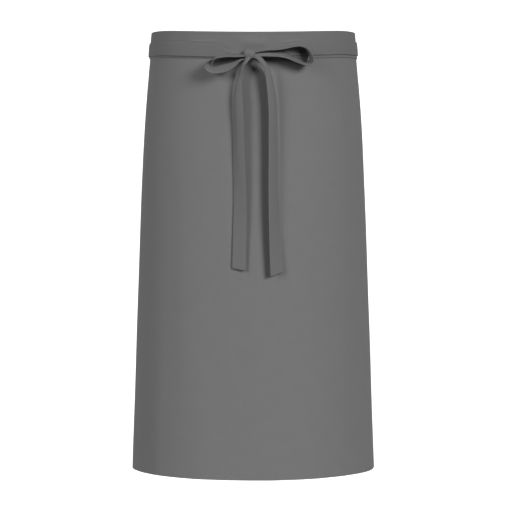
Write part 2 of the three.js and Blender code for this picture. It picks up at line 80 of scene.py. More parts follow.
@dataclass(frozen=True)
class SmoothTable:
    """Rows of numbers that are read smoothly between them; the first column is the key."""

    columns: tuple[str, ...]
    rows: tuple[tuple[float, ...], ...]

    @cached_property
    def keys(self) -> list[float]:
        """The key of each row."""
        return [row[0] for row in self.rows]

    @cached_property
    def shares(self) -> list[float]:
        """Each row's share of the way through the rows."""
        return [i / (len(self.rows) - 1) for i in range(len(self.rows))]

    def _blend(self, keys: Sequence[float], value: float, column: int) -> float:
        """Read one column with a smooth curve through its rows.

        Args:
            keys: The key of each row, rising.
            value: Where to read.
            column: The column's number.

        Returns:
            The value on the curve.
        """
        last = len(self.rows) - 1
        row = 0
        while row < last - 1 and value > keys[row + 1]:
            row += 1

        def slope(i: int) -> float:
            """Slope of the curve at a row, from its neighbours.

            Args:
                i: The row's number.

            Returns:
                The slope by the key.
            """
            before, after = max(i - 1, 0), min(i + 1, last)
            rise = self.rows[after][column] - self.rows[before][column]
            return rise / (keys[after] - keys[before])

        start, end = self.rows[row][column], self.rows[row + 1][column]
        span = keys[row + 1] - keys[row]
        t = min(max((value - keys[row]) / span, 0.0), 1.0)
        eased = t * t * (3 - 2 * t)
        leaving = t * (1 - t) ** 2 * span * slope(row)
        arriving = t * t * (t - 1) * span * slope(row + 1)
        return start + (end - start) * eased + leaving + arriving

    def read(self, value: float, column: str) -> float:
        """Read a column by the key column.

        Args:
            value: The key to read at.
            column: The column's name.

        Returns:
            The value on the curve.
        """
        return self._blend(self.keys, value, self.columns.index(column))

    def along(self, share: float, column: str) -> float:
        """Read a column by the share of the way through the rows.

        Args:
            share: From 0 at the first row to 1 at the last.
            column: The column's name.

        Returns:
            The value on the curve.
        """
        return self._blend(self.shares, share, self.columns.index(column))


# How the form widens and deepens from the waist to the hem, as shares of its length and growth.
FORM = SmoothTable(
    ("down", "wide", "deep"),
    (
        (0.0, 0.0, 0.0),
        (0.07, 0.13, 0.09),
        (0.14, 0.27, 0.2),
        (0.22, 0.4, 0.34),
        (0.32, 0.51, 0.5),
        (0.5, 0.66, 0.7),
        (0.75, 0.845, 0.88),
        (1.0, 1.0, 1.0),
    ),
)
# How the rim drops from the front, 0, over the side, 0.5, to the back, 1.
RIM = SmoothTable(
    ("round", "drop"),
    (
        (0.0, 0.0),
        (0.3, 0.0),
        (0.36, 0.06),
        (0.42, 0.24),
        (0.5, 0.56),
        (0.6, 0.84),
        (0.75, 1.0),
        (1.0, 1.0),
    ),
)
# The ties from their seams behind to the band's other end: how far they have sunk to the
# waist's line, grown wide and come out over the band. One crosses over the other.
CROSSING_OVER = SmoothTable(
    ("along", "low", "wide", "out"),
    (
        (0.0, 0.0, 0.0, 0.0),
        (0.06, 0.01, 0.0, 0.02),
        (0.16, 0.03, 0.1, 0.55),
        (0.27, 0.1, 0.3, 1.0),
        (0.5, 0.45, 0.7, 1.0),
        (0.8, 0.88, 1.0, 1.0),
        (1.0, 1.0, 1.0, 1.0),
    ),
)
CROSSING_UNDER = SmoothTable(
    ("along", "low", "wide", "out"),
    (
        (0.0, 1.0, 1.0, 0.0),
        (0.35, 1.0, 1.0, 0.0),
        (0.7, 1.0, 1.0, 0.0),
        (0.82, 1.0, 1.0, 0.5),
        (0.92, 1.0, 1.0, 1.0),
        (1.0, 1.0, 1.0, 1.0),
    ),
)
# How the ties' upper edges fall towards the knot, as shares of the gather's length and the width.
GATHER_LEFT_EDGE = SmoothTable(
    ("away", "fall"),
    (
        (0.0, 0.66),
        (0.27, 0.63),
        (0.48, 0.54),
        (0.64, 0.42),
        (0.8, 0.18),
        (0.92, 0.03),
        (1.0, 0.0),
    ),
)
GATHER_RIGHT_EDGE = SmoothTable(
    ("away", "fall"),
    (
        (0.0, 0.7),
        (0.14, 0.64),
        (0.32, 0.49),
        (0.5, 0.32),
        (0.67, 0.15),
        (0.85, 0.04),
        (1.0, 0.0),
    ),
)
# The loops' runs, set after the photograph: shares of their reach, rise and width, and
# the roll in degrees.
LOOP_LEFT = SmoothTable(
    ("reach", "rise", "wide", "roll"),
    (
        (0.03, 0.03, 0.36, -9),
        (0.17, 0.01, 0.48, -9),
        (0.33, -0.01, 0.72, -9),
        (0.49, 0.0, 0.9, -9),
        (0.65, -0.04, 1.0, -9),
        (0.8, -0.14, 1.0, -7),
        (0.91, -0.3, 1.0, -3),
        (0.98, -0.49, 1.0, 3),
        (1.0, -0.68, 1.0, 10),
        (0.97, -0.85, 1.0, 18),
        (0.9, -0.97, 1.0, 26),
        (0.79, -1.0, 1.0, 31),
        (0.65, -0.93, 1.0, 33),
        (0.49, -0.77, 0.9, 31),
        (0.34, -0.53, 0.66, 27),
        (0.21, -0.31, 0.44, 20),
        (0.05, -0.18, 0.36, 12),
    ),
)
LOOP_RIGHT = SmoothTable(
    ("reach", "rise", "wide", "roll"),
    (
        (0.03, 0.2, 0.3, 0),
        (0.15, 0.4, 0.38, -6),
        (0.3, 0.51, 0.6, -7),
        (0.43, 0.6, 0.9, -4),
        (0.55, 0.76, 1.0, -1),
        (0.67, 0.94, 1.0, 0),
        (0.78, 1.0, 1.0, 0),
        (0.88, 0.8, 1.0, 2),
        (0.95, 0.37, 1.0, 6),
        (0.995, -0.2, 1.0, 6),
        (0.99, -0.66, 1.0, 0),
        (0.93, -0.94, 1.0, -8),
        (0.83, -0.78, 1.0, -14),
        (0.7, -0.42, 1.0, -16),
        (0.58, -0.02, 1.0, -20),
        (0.45, 0.2, 0.95, -26),
        (0.32, 0.24, 0.78, -32),
        (0.15, 0.16, 0.46, -34),
        (0.03, 0.02, 0.36, -24),
    ),
)
# The hanging ends' runs, set after the photograph: shares of the length, the distances
# aside and off the panel and the width, the turn in degrees, and how deep the strip is creased.
TAIL_LEFT = SmoothTable(
    ("down", "aside", "off", "wide", "turn", "fold"),
    (
        (0.004, -0.04, 1.14, 0.28, 14, 0.0),
        (0.022, -0.25, 1.34, 0.32, 48, 0.08),
        (0.038, -0.45, 1.24, 0.36, 58, 0.1),
        (0.06, -0.62, 1.04, 0.4, 62, 0.12),
        (0.095, -0.76, 0.86, 0.5, 58, 0.14),
        (0.14, -0.93, 0.76, 0.76, 48, 0.16),
        (0.22, -1.0, 0.67, 1.0, 40, 0.16),
        (0.35, -0.95, 0.58, 1.0, 36, 0.1),
        (0.49, -0.9, 0.5, 1.0, 31, 0.06),
        (0.62, -0.85, 0.42, 1.0, 26, 0.03),
        (0.75, -0.83, 0.34, 1.0, 17, 0.01),
        (0.88, -0.87, 0.28, 1.0, 10, 0.0),
        (1.0, -0.93, 0.25, 1.0, 8, 0.0),
    ),
)
TAIL_RIGHT = SmoothTable(
    ("down", "aside", "off", "wide", "turn", "fold"),
    (
        (0.001, 0.08, 0.92, 0.26, -6, 0.0),
        (0.003, 0.24, 1.24, 0.3, -16, 0.06),
        (0.018, 0.39, 1.34, 0.36, -32, 0.12),
        (0.04, 0.52, 1.22, 0.46, -44, 0.16),
        (0.075, 0.64, 1.0, 0.64, -50, 0.2),
        (0.15, 0.76, 0.8, 0.9, -50, 0.2),
        (0.24, 0.84, 0.74, 1.0, -48, 0.14),
        (0.4, 0.865, 0.7, 1.0, -44, 0.08),
        (0.54, 0.87, 0.68, 1.0, -41, 0.06),
        (0.68, 0.885, 0.65, 1.0, -38, 0.04),
        (0.84, 0.93, 0.6, 1.0, -32, 0.02),
        (1.0, 1.0, 0.55, 1.0, -20, 0.0),
    ),
)


def smoothstep(low: float, high: float, value: float) -> float:
    """Ease from 0 at low to 1 at high.

    Args:
        low: Where the step begins.
        high: Where it ends.
        value: Where to read it.

    Returns:
        A share from 0 to 1.
    """
    t = min(max((value - low) / (high - low), 0.0), 1.0)
    return t * t * (3 - 2 * t)


def turned(position: float, edge: float, gap: float) -> tuple[float, float]:
    """Fold cloth back at an edge.

    Args:
        position: Distance along the flat cloth.
        edge: Where the folded edge comes.
        gap: Distance between the two layers' middles.

    Returns:
        The place along the folded cloth, and the depth behind the front layer.
    """
    radius = gap / 2
    past = position - (edge - radius)
    if past <= 0:
        return position, 0.0
    angle = min(past / radius, math.pi)
    beyond = max(past - math.pi * radius, 0.0)
    return edge - radius + radius * math.sin(angle) - beyond, radius * (1 - math.cos(angle))


# The form


class Ring(NamedTuple):
    """One level of the form: its half axes and its running length by angle."""

    wide: float
    deep: float
    lengths: np.ndarray
    angles: np.ndarray


@lru_cache(maxsize=None)
def ring_of(wide: float, deep: float) -> Ring:
    """Measure half an ellipse from the front over the side to the back.

    Args:
        wide: Half-width.
        deep: Half-depth.

    Returns:
        The level with its running lengths.
    """
    middles = (np.arange(RING_STEPS) + 0.5) / RING_STEPS * math.pi
    pieces = np.hypot(wide * np.cos(middles), deep * np.sin(middles)) * math.pi / RING_STEPS
    lengths = np.concatenate(([0.0], np.cumsum(pieces)))
    return Ring(wide, deep, lengths, np.linspace(0.0, math.pi, RING_STEPS + 1))


@dataclass(frozen=True)
class BodyForm:
    """The hollow that the waist and hips fill, which the cloth follows."""

    waist_half_width: float = 181.5 * MM
    waist_half_depth: float = 122 * MM
    hem_half_width: float = 217.5 * MM
    hem_half_depth: float = 150 * MM
    rim_height: float = 24 * MM
    rim_drop: float = 12 * MM
    hem_drop: float = 2 * MM
    length: float = 800 * MM
    band_half: float = 451.5 * MM
    tie_down: float = 33.7 * MM

    def ring(self, down: float) -> Ring:
        """The form's level at a distance below the rim.

        Args:
            down: Distance below the rim.

        Returns:
            The level, with its running lengths.
        """
        share = round(down / self.length, 5)
        wide = FORM.read(share, "wide") * (self.hem_half_width - self.waist_half_width)
        deep = FORM.read(share, "deep") * (self.hem_half_depth - self.waist_half_depth)
        return ring_of(self.waist_half_width + wide, self.waist_half_depth + deep)

    def opening(self, down: float) -> float:
        """The gap between the waistband's ends behind, at a distance below the rim."""
        return 2 * (self.ring(down).lengths[-1] - self.band_half)

    def place(self, side: float, down: float, out: float) -> Vector:
        """Find a place on the form.

        Args:
            side: Length round it from the front centre, positive to the right.
            down: Distance below the rim.
            out: Distance outwards.

        Returns:
            The place in metres.
        """
        ring = self.ring(down)
        half = ring.lengths[-1]
        past = max(abs(side) - self.band_half, 0.0) / self.opening(self.tie_down)
        length = min(abs(side), self.band_half) + past * 2 * (half - self.band_half)
        turn = length / half
        folded = 2 - turn if turn > 1 else turn
        angle = float(np.interp(folded * half, ring.lengths, ring.angles))
        angle = math.copysign(2 * math.pi - angle if turn > 1 else angle, side)
        fade = min(max(down / self.length, 0.0), 1.0)
        sag = RIM.read(folded, "drop") * (self.rim_drop + (self.hem_drop - self.rim_drop) * fade)
        outward = Vector((math.sin(angle) / ring.wide, -math.cos(angle) / ring.deep)).normalized()
        return Vector(
            (
                ring.wide * math.sin(angle) + outward.x * out,
                -ring.deep * math.cos(angle) + outward.y * out,
                self.rim_height - sag - down,
            )
        )


# Finishes


class NodeSketch:
    """Adds nodes to a shader tree and joins them up."""

    def __init__(self, tree: bpy.types.NodeTree) -> None:
        """Start on an empty tree."""
        self.tree = tree
        tree.nodes.clear()

    def add(self, kind: str, settings: dict | None = None) -> bpy.types.Node:
        """Add a node.

        Args:
            kind: Its type's name.
            settings: Properties to set on it.

        Returns:
            The node.
        """
        node = self.tree.nodes.new(kind)
        for name, value in (settings or {}).items():
            setattr(node, name, value)
        return node

    def feed(self, socket: bpy.types.NodeSocket, value: object) -> None:
        """Set a socket to a number, or join another socket to it.

        Args:
            socket: The input.
            value: A number, a colour or an output.
        """
        if isinstance(value, bpy.types.NodeSocket):
            self.tree.links.new(value, socket)
        else:
            socket.default_value = value

    def math(self, operation: str, *values: object) -> bpy.types.NodeSocket:
        """Add a Math node.

        Args:
            operation: What it does.
            values: Its inputs, each a number or a socket.

        Returns:
            Its output.
        """
        node = self.add("ShaderNodeMath", {"operation": operation})
        for socket, value in zip(node.inputs, values):
            self.feed(socket, value)
        return node.outputs[0]

    def fill(self, node: bpy.types.Node, values: dict[str, object]) -> None:
        """Set or join several of a node's inputs by their names."""
        for name, value in values.items():
            self.feed(node.inputs[name], value)

    def noise(self, vector: bpy.types.NodeSocket, scale: float, detail: float) -> bpy.types.NodeSocket:
        """Add a Noise node on a vector.

        Args:
            vector: The place to read.
            scale: Its scale.
            detail: Its octaves.

        Returns:
            Its value, about 0.5 in the mean.
        """
        node = self.add("ShaderNodeTexNoise")
        self.fill(node, {"Vector": vector, "Scale": scale, "Detail": detail})
        return node.outputs["Fac"]

    def stretched(self, vector: bpy.types.NodeSocket, scale: Sequence[float]) -> bpy.types.NodeSocket:
        """Scale a vector unevenly with a Mapping node.

        Args:
            vector: The vector.
            scale: The scale along each axis.

        Returns:
            The scaled vector.
        """
        node = self.add("ShaderNodeMapping")
        self.fill(node, {"Vector": vector, "Scale": scale})
        return node.outputs["Vector"]

    def shaded(self, dye: bpy.types.NodeSocket, shade: bpy.types.NodeSocket) -> bpy.types.NodeSocket:
        """Scale a colour by a shade.

        Args:
            dye: The colour.
            shade: What it is multiplied by.

        Returns:
            The shaded colour.
        """
        node = self.add("ShaderNodeVectorMath", {"operation": "SCALE"})
        self.feed(node.inputs[0], dye)
        self.feed(node.inputs["Scale"], shade)
        return node.outputs[0]

    def cover(self, pattern: bpy.types.Node, bump: dict[str, object], shader: dict[str, object]) -> None:
        """Join a pattern's colour, roughness and height to the surface.

        Args:
            pattern: The pattern's group node.
            bump: What the Bump node's inputs are set to.
            shader: What the Principled node's inputs are set to.
        """
        relief = self.add("ShaderNodeBump")
        self.fill(relief, bump | {"Height": pattern.outputs["Height"]})
        surface = self.add("ShaderNodeBsdfPrincipled")
        self.fill(surface, shader | {"Base Color": pattern.outputs["Color"]})
        self.feed(surface.inputs["Roughness"], pattern.outputs["Roughness"])
        self.feed(surface.inputs["Normal"], relief.outputs["Normal"])
        self.feed(self.add("ShaderNodeOutputMaterial").inputs["Surface"], surface.outputs[0])


NUMBER, VECTOR, COLOUR = "NodeSocketFloat", "NodeSocketVector", "NodeSocketColor"
PATTERN_OUTPUTS = {"Color": COLOUR, "Roughness": NUMBER, "Height": NUMBER}


def pattern_group(name: str, inputs: dict[str, str]) -> NodeSketch:
    """Start a node group that puts out a colour, a roughness and a height.

    Args:
        name: The group's name.
        inputs: Each input's socket type.

    Returns:
        A sketch on the group, which has sockets and no nodes.
    """
    group = bpy.data.node_groups.new(name, "ShaderNodeTree")
    for label, kind in inputs.items():
        group.interface.new_socket(label, in_out="INPUT", socket_type=kind)
    for label, kind in PATTERN_OUTPUTS.items():
        group.interface.new_socket(label, in_out="OUTPUT", socket_type=kind)
    return NodeSketch(group)


@dataclass(frozen=True)
class PlainWeave:
    """The plain weave: threads over and under, darkened where they dip as painted shade, slubs and an
    uneven dye.
    """

    wander: float = 1.6
    wander_scale: float = 160.0
    thread_turn: float = 0.9 * math.pi
    crossing: float = 0.5
    height: float = 0.67
    mean_height: float = 0.75
    warp_slubs: tuple[float, float, float] = (900.0, 26.0, 1.0)
    weft_slubs: tuple[float, float, float] = (22.0, 900.0, 1.0)
    slub_detail: float = 2.0
    slub_roughness: float = 0.3
    slub_height: float = 0.8
    mottle_scale: float = 34.0
    mottle_detail: float = 4.0

    def group(self) -> bpy.types.NodeTree:
        """Make the weave's node group.

        Returns:
            A node group that puts out the cloth's colour, roughness and height.
        """
        numbers = ("Thread Pitch", "Painted Valley Shade", "Slub", "Mottle", "Roughness")
        kinds = {"Flat Place": VECTOR, "Dye": COLOUR} | dict.fromkeys(numbers, NUMBER)
        sketch = pattern_group("plain_weave", kinds)
        given = sketch.add("NodeGroupInput").outputs
        flat = given["Flat Place"]
        split = sketch.add("ShaderNodeSeparateXYZ")
        sketch.feed(split.inputs[0], flat)
        wander = sketch.math("MULTIPLY", sketch.noise(flat, self.wander_scale, 1.0), self.wander)

        def wave(count: bpy.types.NodeSocket, turn: float) -> bpy.types.NodeSocket:
            """A cosine that goes through a turn from one thread to the next."""
            return sketch.math("COSINE", sketch.math("MULTIPLY", count, turn))

        def lane(axis: str) -> tuple[bpy.types.NodeSocket, ...]:
            """The nearest thread's roundness, 1 or -1 for even and odd ones, and its wave.

            Args:
                axis: The axis that the threads are counted along.

            Returns:
                The three sockets in that order.
            """
            even = sketch.math("DIVIDE", split.outputs[axis], given["Thread Pitch"])
            count = sketch.math("ADD", even, wander)
            nearest = sketch.math("ROUND", count)
            away = sketch.math("SUBTRACT", count, nearest)
            return wave(away, self.thread_turn), wave(nearest, math.pi), wave(count, math.pi)

        warp_round, warp_parity, warp_wave = lane("X")
        weft_round, weft_parity, weft_wave = lane("Y")
        over, under = (
            sketch.math("MULTIPLY_ADD", sketch.math("MULTIPLY", rise, parity), crossing, roundness)
            for rise, parity, crossing, roundness in (
                (weft_wave, warp_parity, self.crossing, warp_round),
                (warp_wave, weft_parity, -self.crossing, weft_round),
            )
        )
        top = sketch.math("MULTIPLY", sketch.math("MAXIMUM", over, under), self.height)
        warp_slub, weft_slub = (
            sketch.noise(sketch.stretched(flat, scale), 1.0, self.slub_detail)
            for scale in (self.warp_slubs, self.weft_slubs)
        )
        slub = sketch.math("SUBTRACT", sketch.math("ADD", warp_slub, weft_slub), 1.0)
        mottle = sketch.math("SUBTRACT", sketch.noise(flat, self.mottle_scale, self.mottle_detail), 0.5)
        # Where the threads dip below their mean height the colour darkens: painted shade in the weave's
        # hollows.
        above_mean = sketch.math("SUBTRACT", top, self.mean_height)
        shade = sketch.math("MULTIPLY_ADD", above_mean, given["Painted Valley Shade"], 1.0)
        shade = sketch.math("MULTIPLY_ADD", slub, given["Slub"], shade)
        shade = sketch.math("MULTIPLY_ADD", mottle, given["Mottle"], shade)
        result = {
            "Color": sketch.shaded(given["Dye"], shade),
            "Roughness": sketch.math("MULTIPLY_ADD", slub, self.slub_roughness, given["Roughness"]),
            "Height": sketch.math("MULTIPLY_ADD", slub, self.slub_height, top),
        }
        sketch.fill(sketch.add("NodeGroupOutput"), result)
        return sketch.tree


@dataclass(frozen=True)
class TwistedYarn:
    """The sewing thread's twist, with painted light on its plies' crests and painted shade in the grooves
    between them.
    """

    painted_ply_shade: float = 0.3
    painted_groove_shade: float = 0.85
    ply_roughness: float = 0.1

    def group(self) -> bpy.types.NodeTree:
        """Make the twist's node group.

        Returns:
            A node group that puts out the thread's colour, roughness and height.
        """
        kinds = {"Place": VECTOR, "Dye": COLOUR, "Twist": NUMBER, "Roughness": NUMBER}
        sketch = pattern_group("twisted_yarn", kinds)
        given = sketch.add("NodeGroupInput").outputs
        wave = sketch.add("ShaderNodeTexWave", {"bands_direction": "DIAGONAL"})
        sketch.fill(wave, {"Vector": given["Place"], "Scale": given["Twist"]})
        ply = wave.outputs["Fac"]
        # Lighter on the plies' crests and darker in the grooves: painted light and shade.
        shade = sketch.math("MULTIPLY_ADD", ply, self.painted_ply_shade, self.painted_groove_shade)
        result = {
            "Color": sketch.shaded(given["Dye"], shade),
            "Roughness": sketch.math("MULTIPLY_ADD", ply, self.ply_roughness, given["Roughness"]),
            "Height": ply,
        }
        sketch.fill(sketch.add("NodeGroupOutput"), result)
        return sketch.tree


@dataclass(frozen=True)
class WovenFinish:
    """The finish of one cut of the grey cloth."""

    name: str
    # The cloth's colour; the band's and the ties' are darkened, which paints shade on them.
    dye: tuple[float, float, float]
    thread_pitch: float = 0.62 * MM
    # How much darker the weave's hollows are painted: painted shade.
    painted_valley_shade: float = 0.22
    slub: float = 0.1
    mottle: float = 0.07
    roughness: float = 0.92
    relief: float = 0.09 * MM
    relief_strength: float = 0.8
    fuzz: float = 0.04
    fuzz_roughness: float = 0.6
    gloss: float = 0.25

    def material(self, weave: bpy.types.NodeTree) -> bpy.types.Material:
        """Make the material.

        Args:
            weave: The plain weave's node group.

        Returns:
            The material, which reads the cloth's own flat layout.
        """
        material = bpy.data.materials.new(self.name)
        material.use_nodes = True
        sketch = NodeSketch(material.node_tree)
        flat = sketch.add("ShaderNodeUVMap", {"uv_map": UV_NAME})
        cloth = sketch.add("ShaderNodeGroup", {"node_tree": weave})
        looks = {
            "Flat Place": flat.outputs["UV"],
            "Thread Pitch": self.thread_pitch,
            "Dye": (*self.dye, 1.0),
            "Painted Valley Shade": self.painted_valley_shade,
            "Slub": self.slub,
            "Mottle": self.mottle,
            "Roughness": self.roughness,
        }
        sketch.fill(cloth, looks)
        bump = {"Strength": self.relief_strength, "Distance": self.relief}
        shader = {
            "Sheen Weight": self.fuzz,
            "Sheen Roughness": self.fuzz_roughness,
            "Specular IOR Level": self.gloss,
        }
        sketch.cover(cloth, bump, shader)
        return material


@dataclass(frozen=True)
class ThreadFinish:
    """The finish of the sewing thread."""

    name: str
    dye: tuple[float, float, float]
    twist: float = 1500.0
    roughness: float = 0.7
    relief: float = 0.05 * MM

    def material(self, yarn: bpy.types.NodeTree) -> bpy.types.Material:
        """Make the material.

        Args:
            yarn: The twisted yarn's node group.

        Returns:
            The material.
        """
        material = bpy.data.materials.new(self.name)
        material.use_nodes = True
        sketch = NodeSketch(material.node_tree)
        place = sketch.add("ShaderNodeTexCoord")
        thread = sketch.add("ShaderNodeGroup", {"node_tree": yarn})
        looks = {
            "Place": place.outputs["Object"],
            "Dye": (*self.dye, 1.0),
            "Twist": self.twist,
            "Roughness": self.roughness,
        }
        sketch.fill(thread, looks)
        sketch.cover(thread, {"Distance": self.relief}, {})
        return material


# The band and the ties are the same grey cloth as the skirt; their darker dyes are painted shade.
SKIRT_FINISH = WovenFinish("skirt_weave", (0.160, 0.160, 0.162))
BAND_PAINTED_SHADE_FINISH = WovenFinish("band_weave_painted_shade", (0.142, 0.142, 0.144))
TIE_PAINTED_SHADE_FINISH = WovenFinish("tie_weave_painted_shade", (0.138, 0.138, 0.140), slub=0.08)
STITCH_FINISH = ThreadFinish("sewing_thread", (0.150, 0.150, 0.153))


@dataclass(frozen=True)
class ClothRack:
    """The finished materials, built once and handed to every sub-assembly."""

    skirt: bpy.types.Material
    band: bpy.types.Material
    tie: bpy.types.Material
    thread: bpy.types.Material

    @classmethod
    def filled(cls) -> "ClothRack":
        """Build the node groups and the materials.

        Returns:
            The rack with its materials.
        """
        weave = PlainWeave().group()
        cloths = [finish.material(weave) for finish in (SKIRT_FINISH, BAND_PAINTED_SHADE_FINISH, TIE_PAINTED_SHADE_FINISH)]
        return cls(*cloths, STITCH_FINISH.material(TwistedYarn().group()))


# Cloth and stitches


def as_piece(name: str, mesh: bmesh.types.BMesh, material: bpy.types.Material) -> bpy.types.Object:
    """Turn a finished mesh into a piece of the scene.

    Args:
        name: The piece's name.
        mesh: Its mesh, which is freed.
        material: Its finish.

    Returns:
        The piece.
    """
    data = bpy.data.meshes.new(name)
    mesh.to_mesh(data)
    mesh.free()
    data.materials.append(material)
    piece = bpy.data.objects.new(name, data)
    bpy.context.scene.collection.objects.link(piece)
    return piece


@dataclass
class FlatCloth:
    """A sheet that is laid out flat on lines across and along, and then placed."""

    name: str
    across: Sequence[float]
    along: Sequence[float]
    thickness: float
    smooth_levels: int = 0

    def sew(self, place: Callable[[int, int], Vector], material: bpy.types.Material) -> bpy.types.Object:
        """Lay the sheet out, map it flat, place it and give it its thickness.

        Args:
            place: Gives a place for the numbers of the lines across and along.
            material: Its finish.

        Returns:
            The finished piece.
        """
        columns, rows = len(self.across) - 1, len(self.along) - 1
        mesh = bmesh.new()
        bmesh.ops.create_grid(mesh, x_segments=columns, y_segments=rows, size=0.5)
        flat = mesh.loops.layers.uv.new(UV_NAME)
        numbers = {
            vertex: (round((vertex.co.x + 0.5) * columns), round((vertex.co.y + 0.5) * rows))
            for vertex in mesh.verts
        }
        for face in mesh.faces:
            face.smooth = True
            for loop in face.loops:
                i, j = numbers[loop.vert]
                loop[flat].uv = (self.across[i], self.along[j])
        for vertex, (i, j) in numbers.items():
            vertex.co = place(i, j)
        piece = as_piece(self.name, mesh, material)
        shell = piece.modifiers.new("cloth_thickness", "SOLIDIFY")
        shell.thickness = self.thickness
        shell.offset = 0.0
        shell.use_even_offset = False
        if self.smooth_levels:
            softened = piece.modifiers.new("soft_edges", "SUBSURF")
            softened.levels = self.smooth_levels
            softened.render_levels = self.smooth_levels
        return piece


class StitchPlace(NamedTuple):
    """Where one stitch lies: its middle, its direction and the cloth's outward direction."""

    middle: Vector
    along: Vector
    outward: Vector


@dataclass
class StitchRows:
    """Rows of short raised stitches in one piece."""

    name: str
    length: float = 2.3 * MM
    breadth: float = 0.42 * MM
    proud: float = 0.3 * MM
    facets_round: int = 6
    facets_along: int = 4
    batch: int = 24

    def sew(self, places: Sequence[StitchPlace], material: bpy.types.Material) -> bpy.types.Object:
        """Make the stitches at their places, a batch at a time so that the work stays quick.

        Args:
            places: Where they lie.
            material: The thread's finish.

        Returns:
            The finished piece.
        """
        mesh = bmesh.new()
        batch_data = bpy.data.meshes.new("stitch_batch")
        for first in range(0, len(places), self.batch):
            few = bmesh.new()
            for stitch in places[first : first + self.batch]:
                bmesh.ops.create_uvsphere(
                    few,
                    u_segments=self.facets_round,
                    v_segments=self.facets_along,
                    radius=1.0,
                    matrix=self._lie(stitch),
                )
            few.to_mesh(batch_data)
            few.free()
            mesh.from_mesh(batch_data)
        bpy.data.meshes.remove(batch_data)
        for face in mesh.faces:
            face.smooth = True
        return as_piece(self.name, mesh, material)

    def _lie(self, stitch: StitchPlace) -> Matrix:
        """Shape a ball to a stitch and lay it in its place.

        Args:
            stitch: Where it lies.

        Returns:
            The matrix that does so to a ball of radius one.
        """
        along = stitch.along.normalized()
        beside = stitch.outward.cross(along).normalized()
        turn = Matrix((along, beside, along.cross(beside))).transposed().to_4x4()
        size = Matrix.Diagonal((self.length / 2, self.breadth / 2, self.proud / 2, 1.0))
        return Matrix.Translation(stitch.middle) @ turn @ size


def spaced(start: float, end: float, pitch: float) -> list[float]:
    """Spread values evenly.

    Args:
        start: The first value.
        end: The last value.
        pitch: The largest step between them.

    Returns:
        The values, with both ends.
    """
    steps = max(math.ceil(abs(end - start) / pitch), 1)
    return [start + (end - start) * i / steps for i in range(steps + 1)]


def joined(*runs: Sequence[float]) -> list[float]:
    """Join runs of values end to end, leaving out each shared end.

    Args:
        runs: The runs, each of which begins where the one before it ends.

    Returns:
        All their values.
    """
    values = list(runs[0])
    for run in runs[1:]:
        values.extend(run[1:])
    return values


SeamLine = Callable[[float], tuple[Vector, Vector]]


def stitches_along(at: SeamLine, run: Sequence[float], pitch: float) -> list[StitchPlace]:
    """Place stitches along a line on the cloth.

    Args:
        at: Gives the place and the outward direction at a length along the line.
        run: The line's two ends.
        pitch: The distance from one stitch to the next.

    Returns:
        The stitches' places.
    """
    places = []
    start, end = run
    for length in spaced(start, end, pitch)[:-1]:
        middle, outward = at(length + pitch / 2)
        before, _ = at(length + pitch / 4)
        after, _ = at(length + pitch * 3 / 4)
        places.append(StitchPlace(middle, after - before, outward))
    return places


def declare(piece: bpy.types.Object, slot: Slot, nodes: Sequence[str] = ()) -> None:
    """Let a piece ride on the apron and stand for its CAD nodes.

    Args:
        piece: The piece.
        slot: Not used.
        nodes: The nodes that it stands for.
    """
    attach(piece, BODY)
    if nodes:
        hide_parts(*nodes)


# Skirt panel


@dataclass(frozen=True)
class Ripple:
    """A soft wave of hanging cloth, which may lean and wander on its way down."""

    high: float
    length: float
    phase: float = 0.0
    lean: float = 0.0
    wander: float = 0.0
    wander_turn: float = 0.0
    wander_phase: float = 0.0

    def lift(self, side: float, below: float) -> float:
        """How far it lifts the cloth, by the length round the form and the share of the way down."""
        wandered = self.wander * math.sin(below * self.wander_turn + self.wander_phase)
        return self.high * math.sin(side / self.length + self.phase + self.lean * below + wandered)


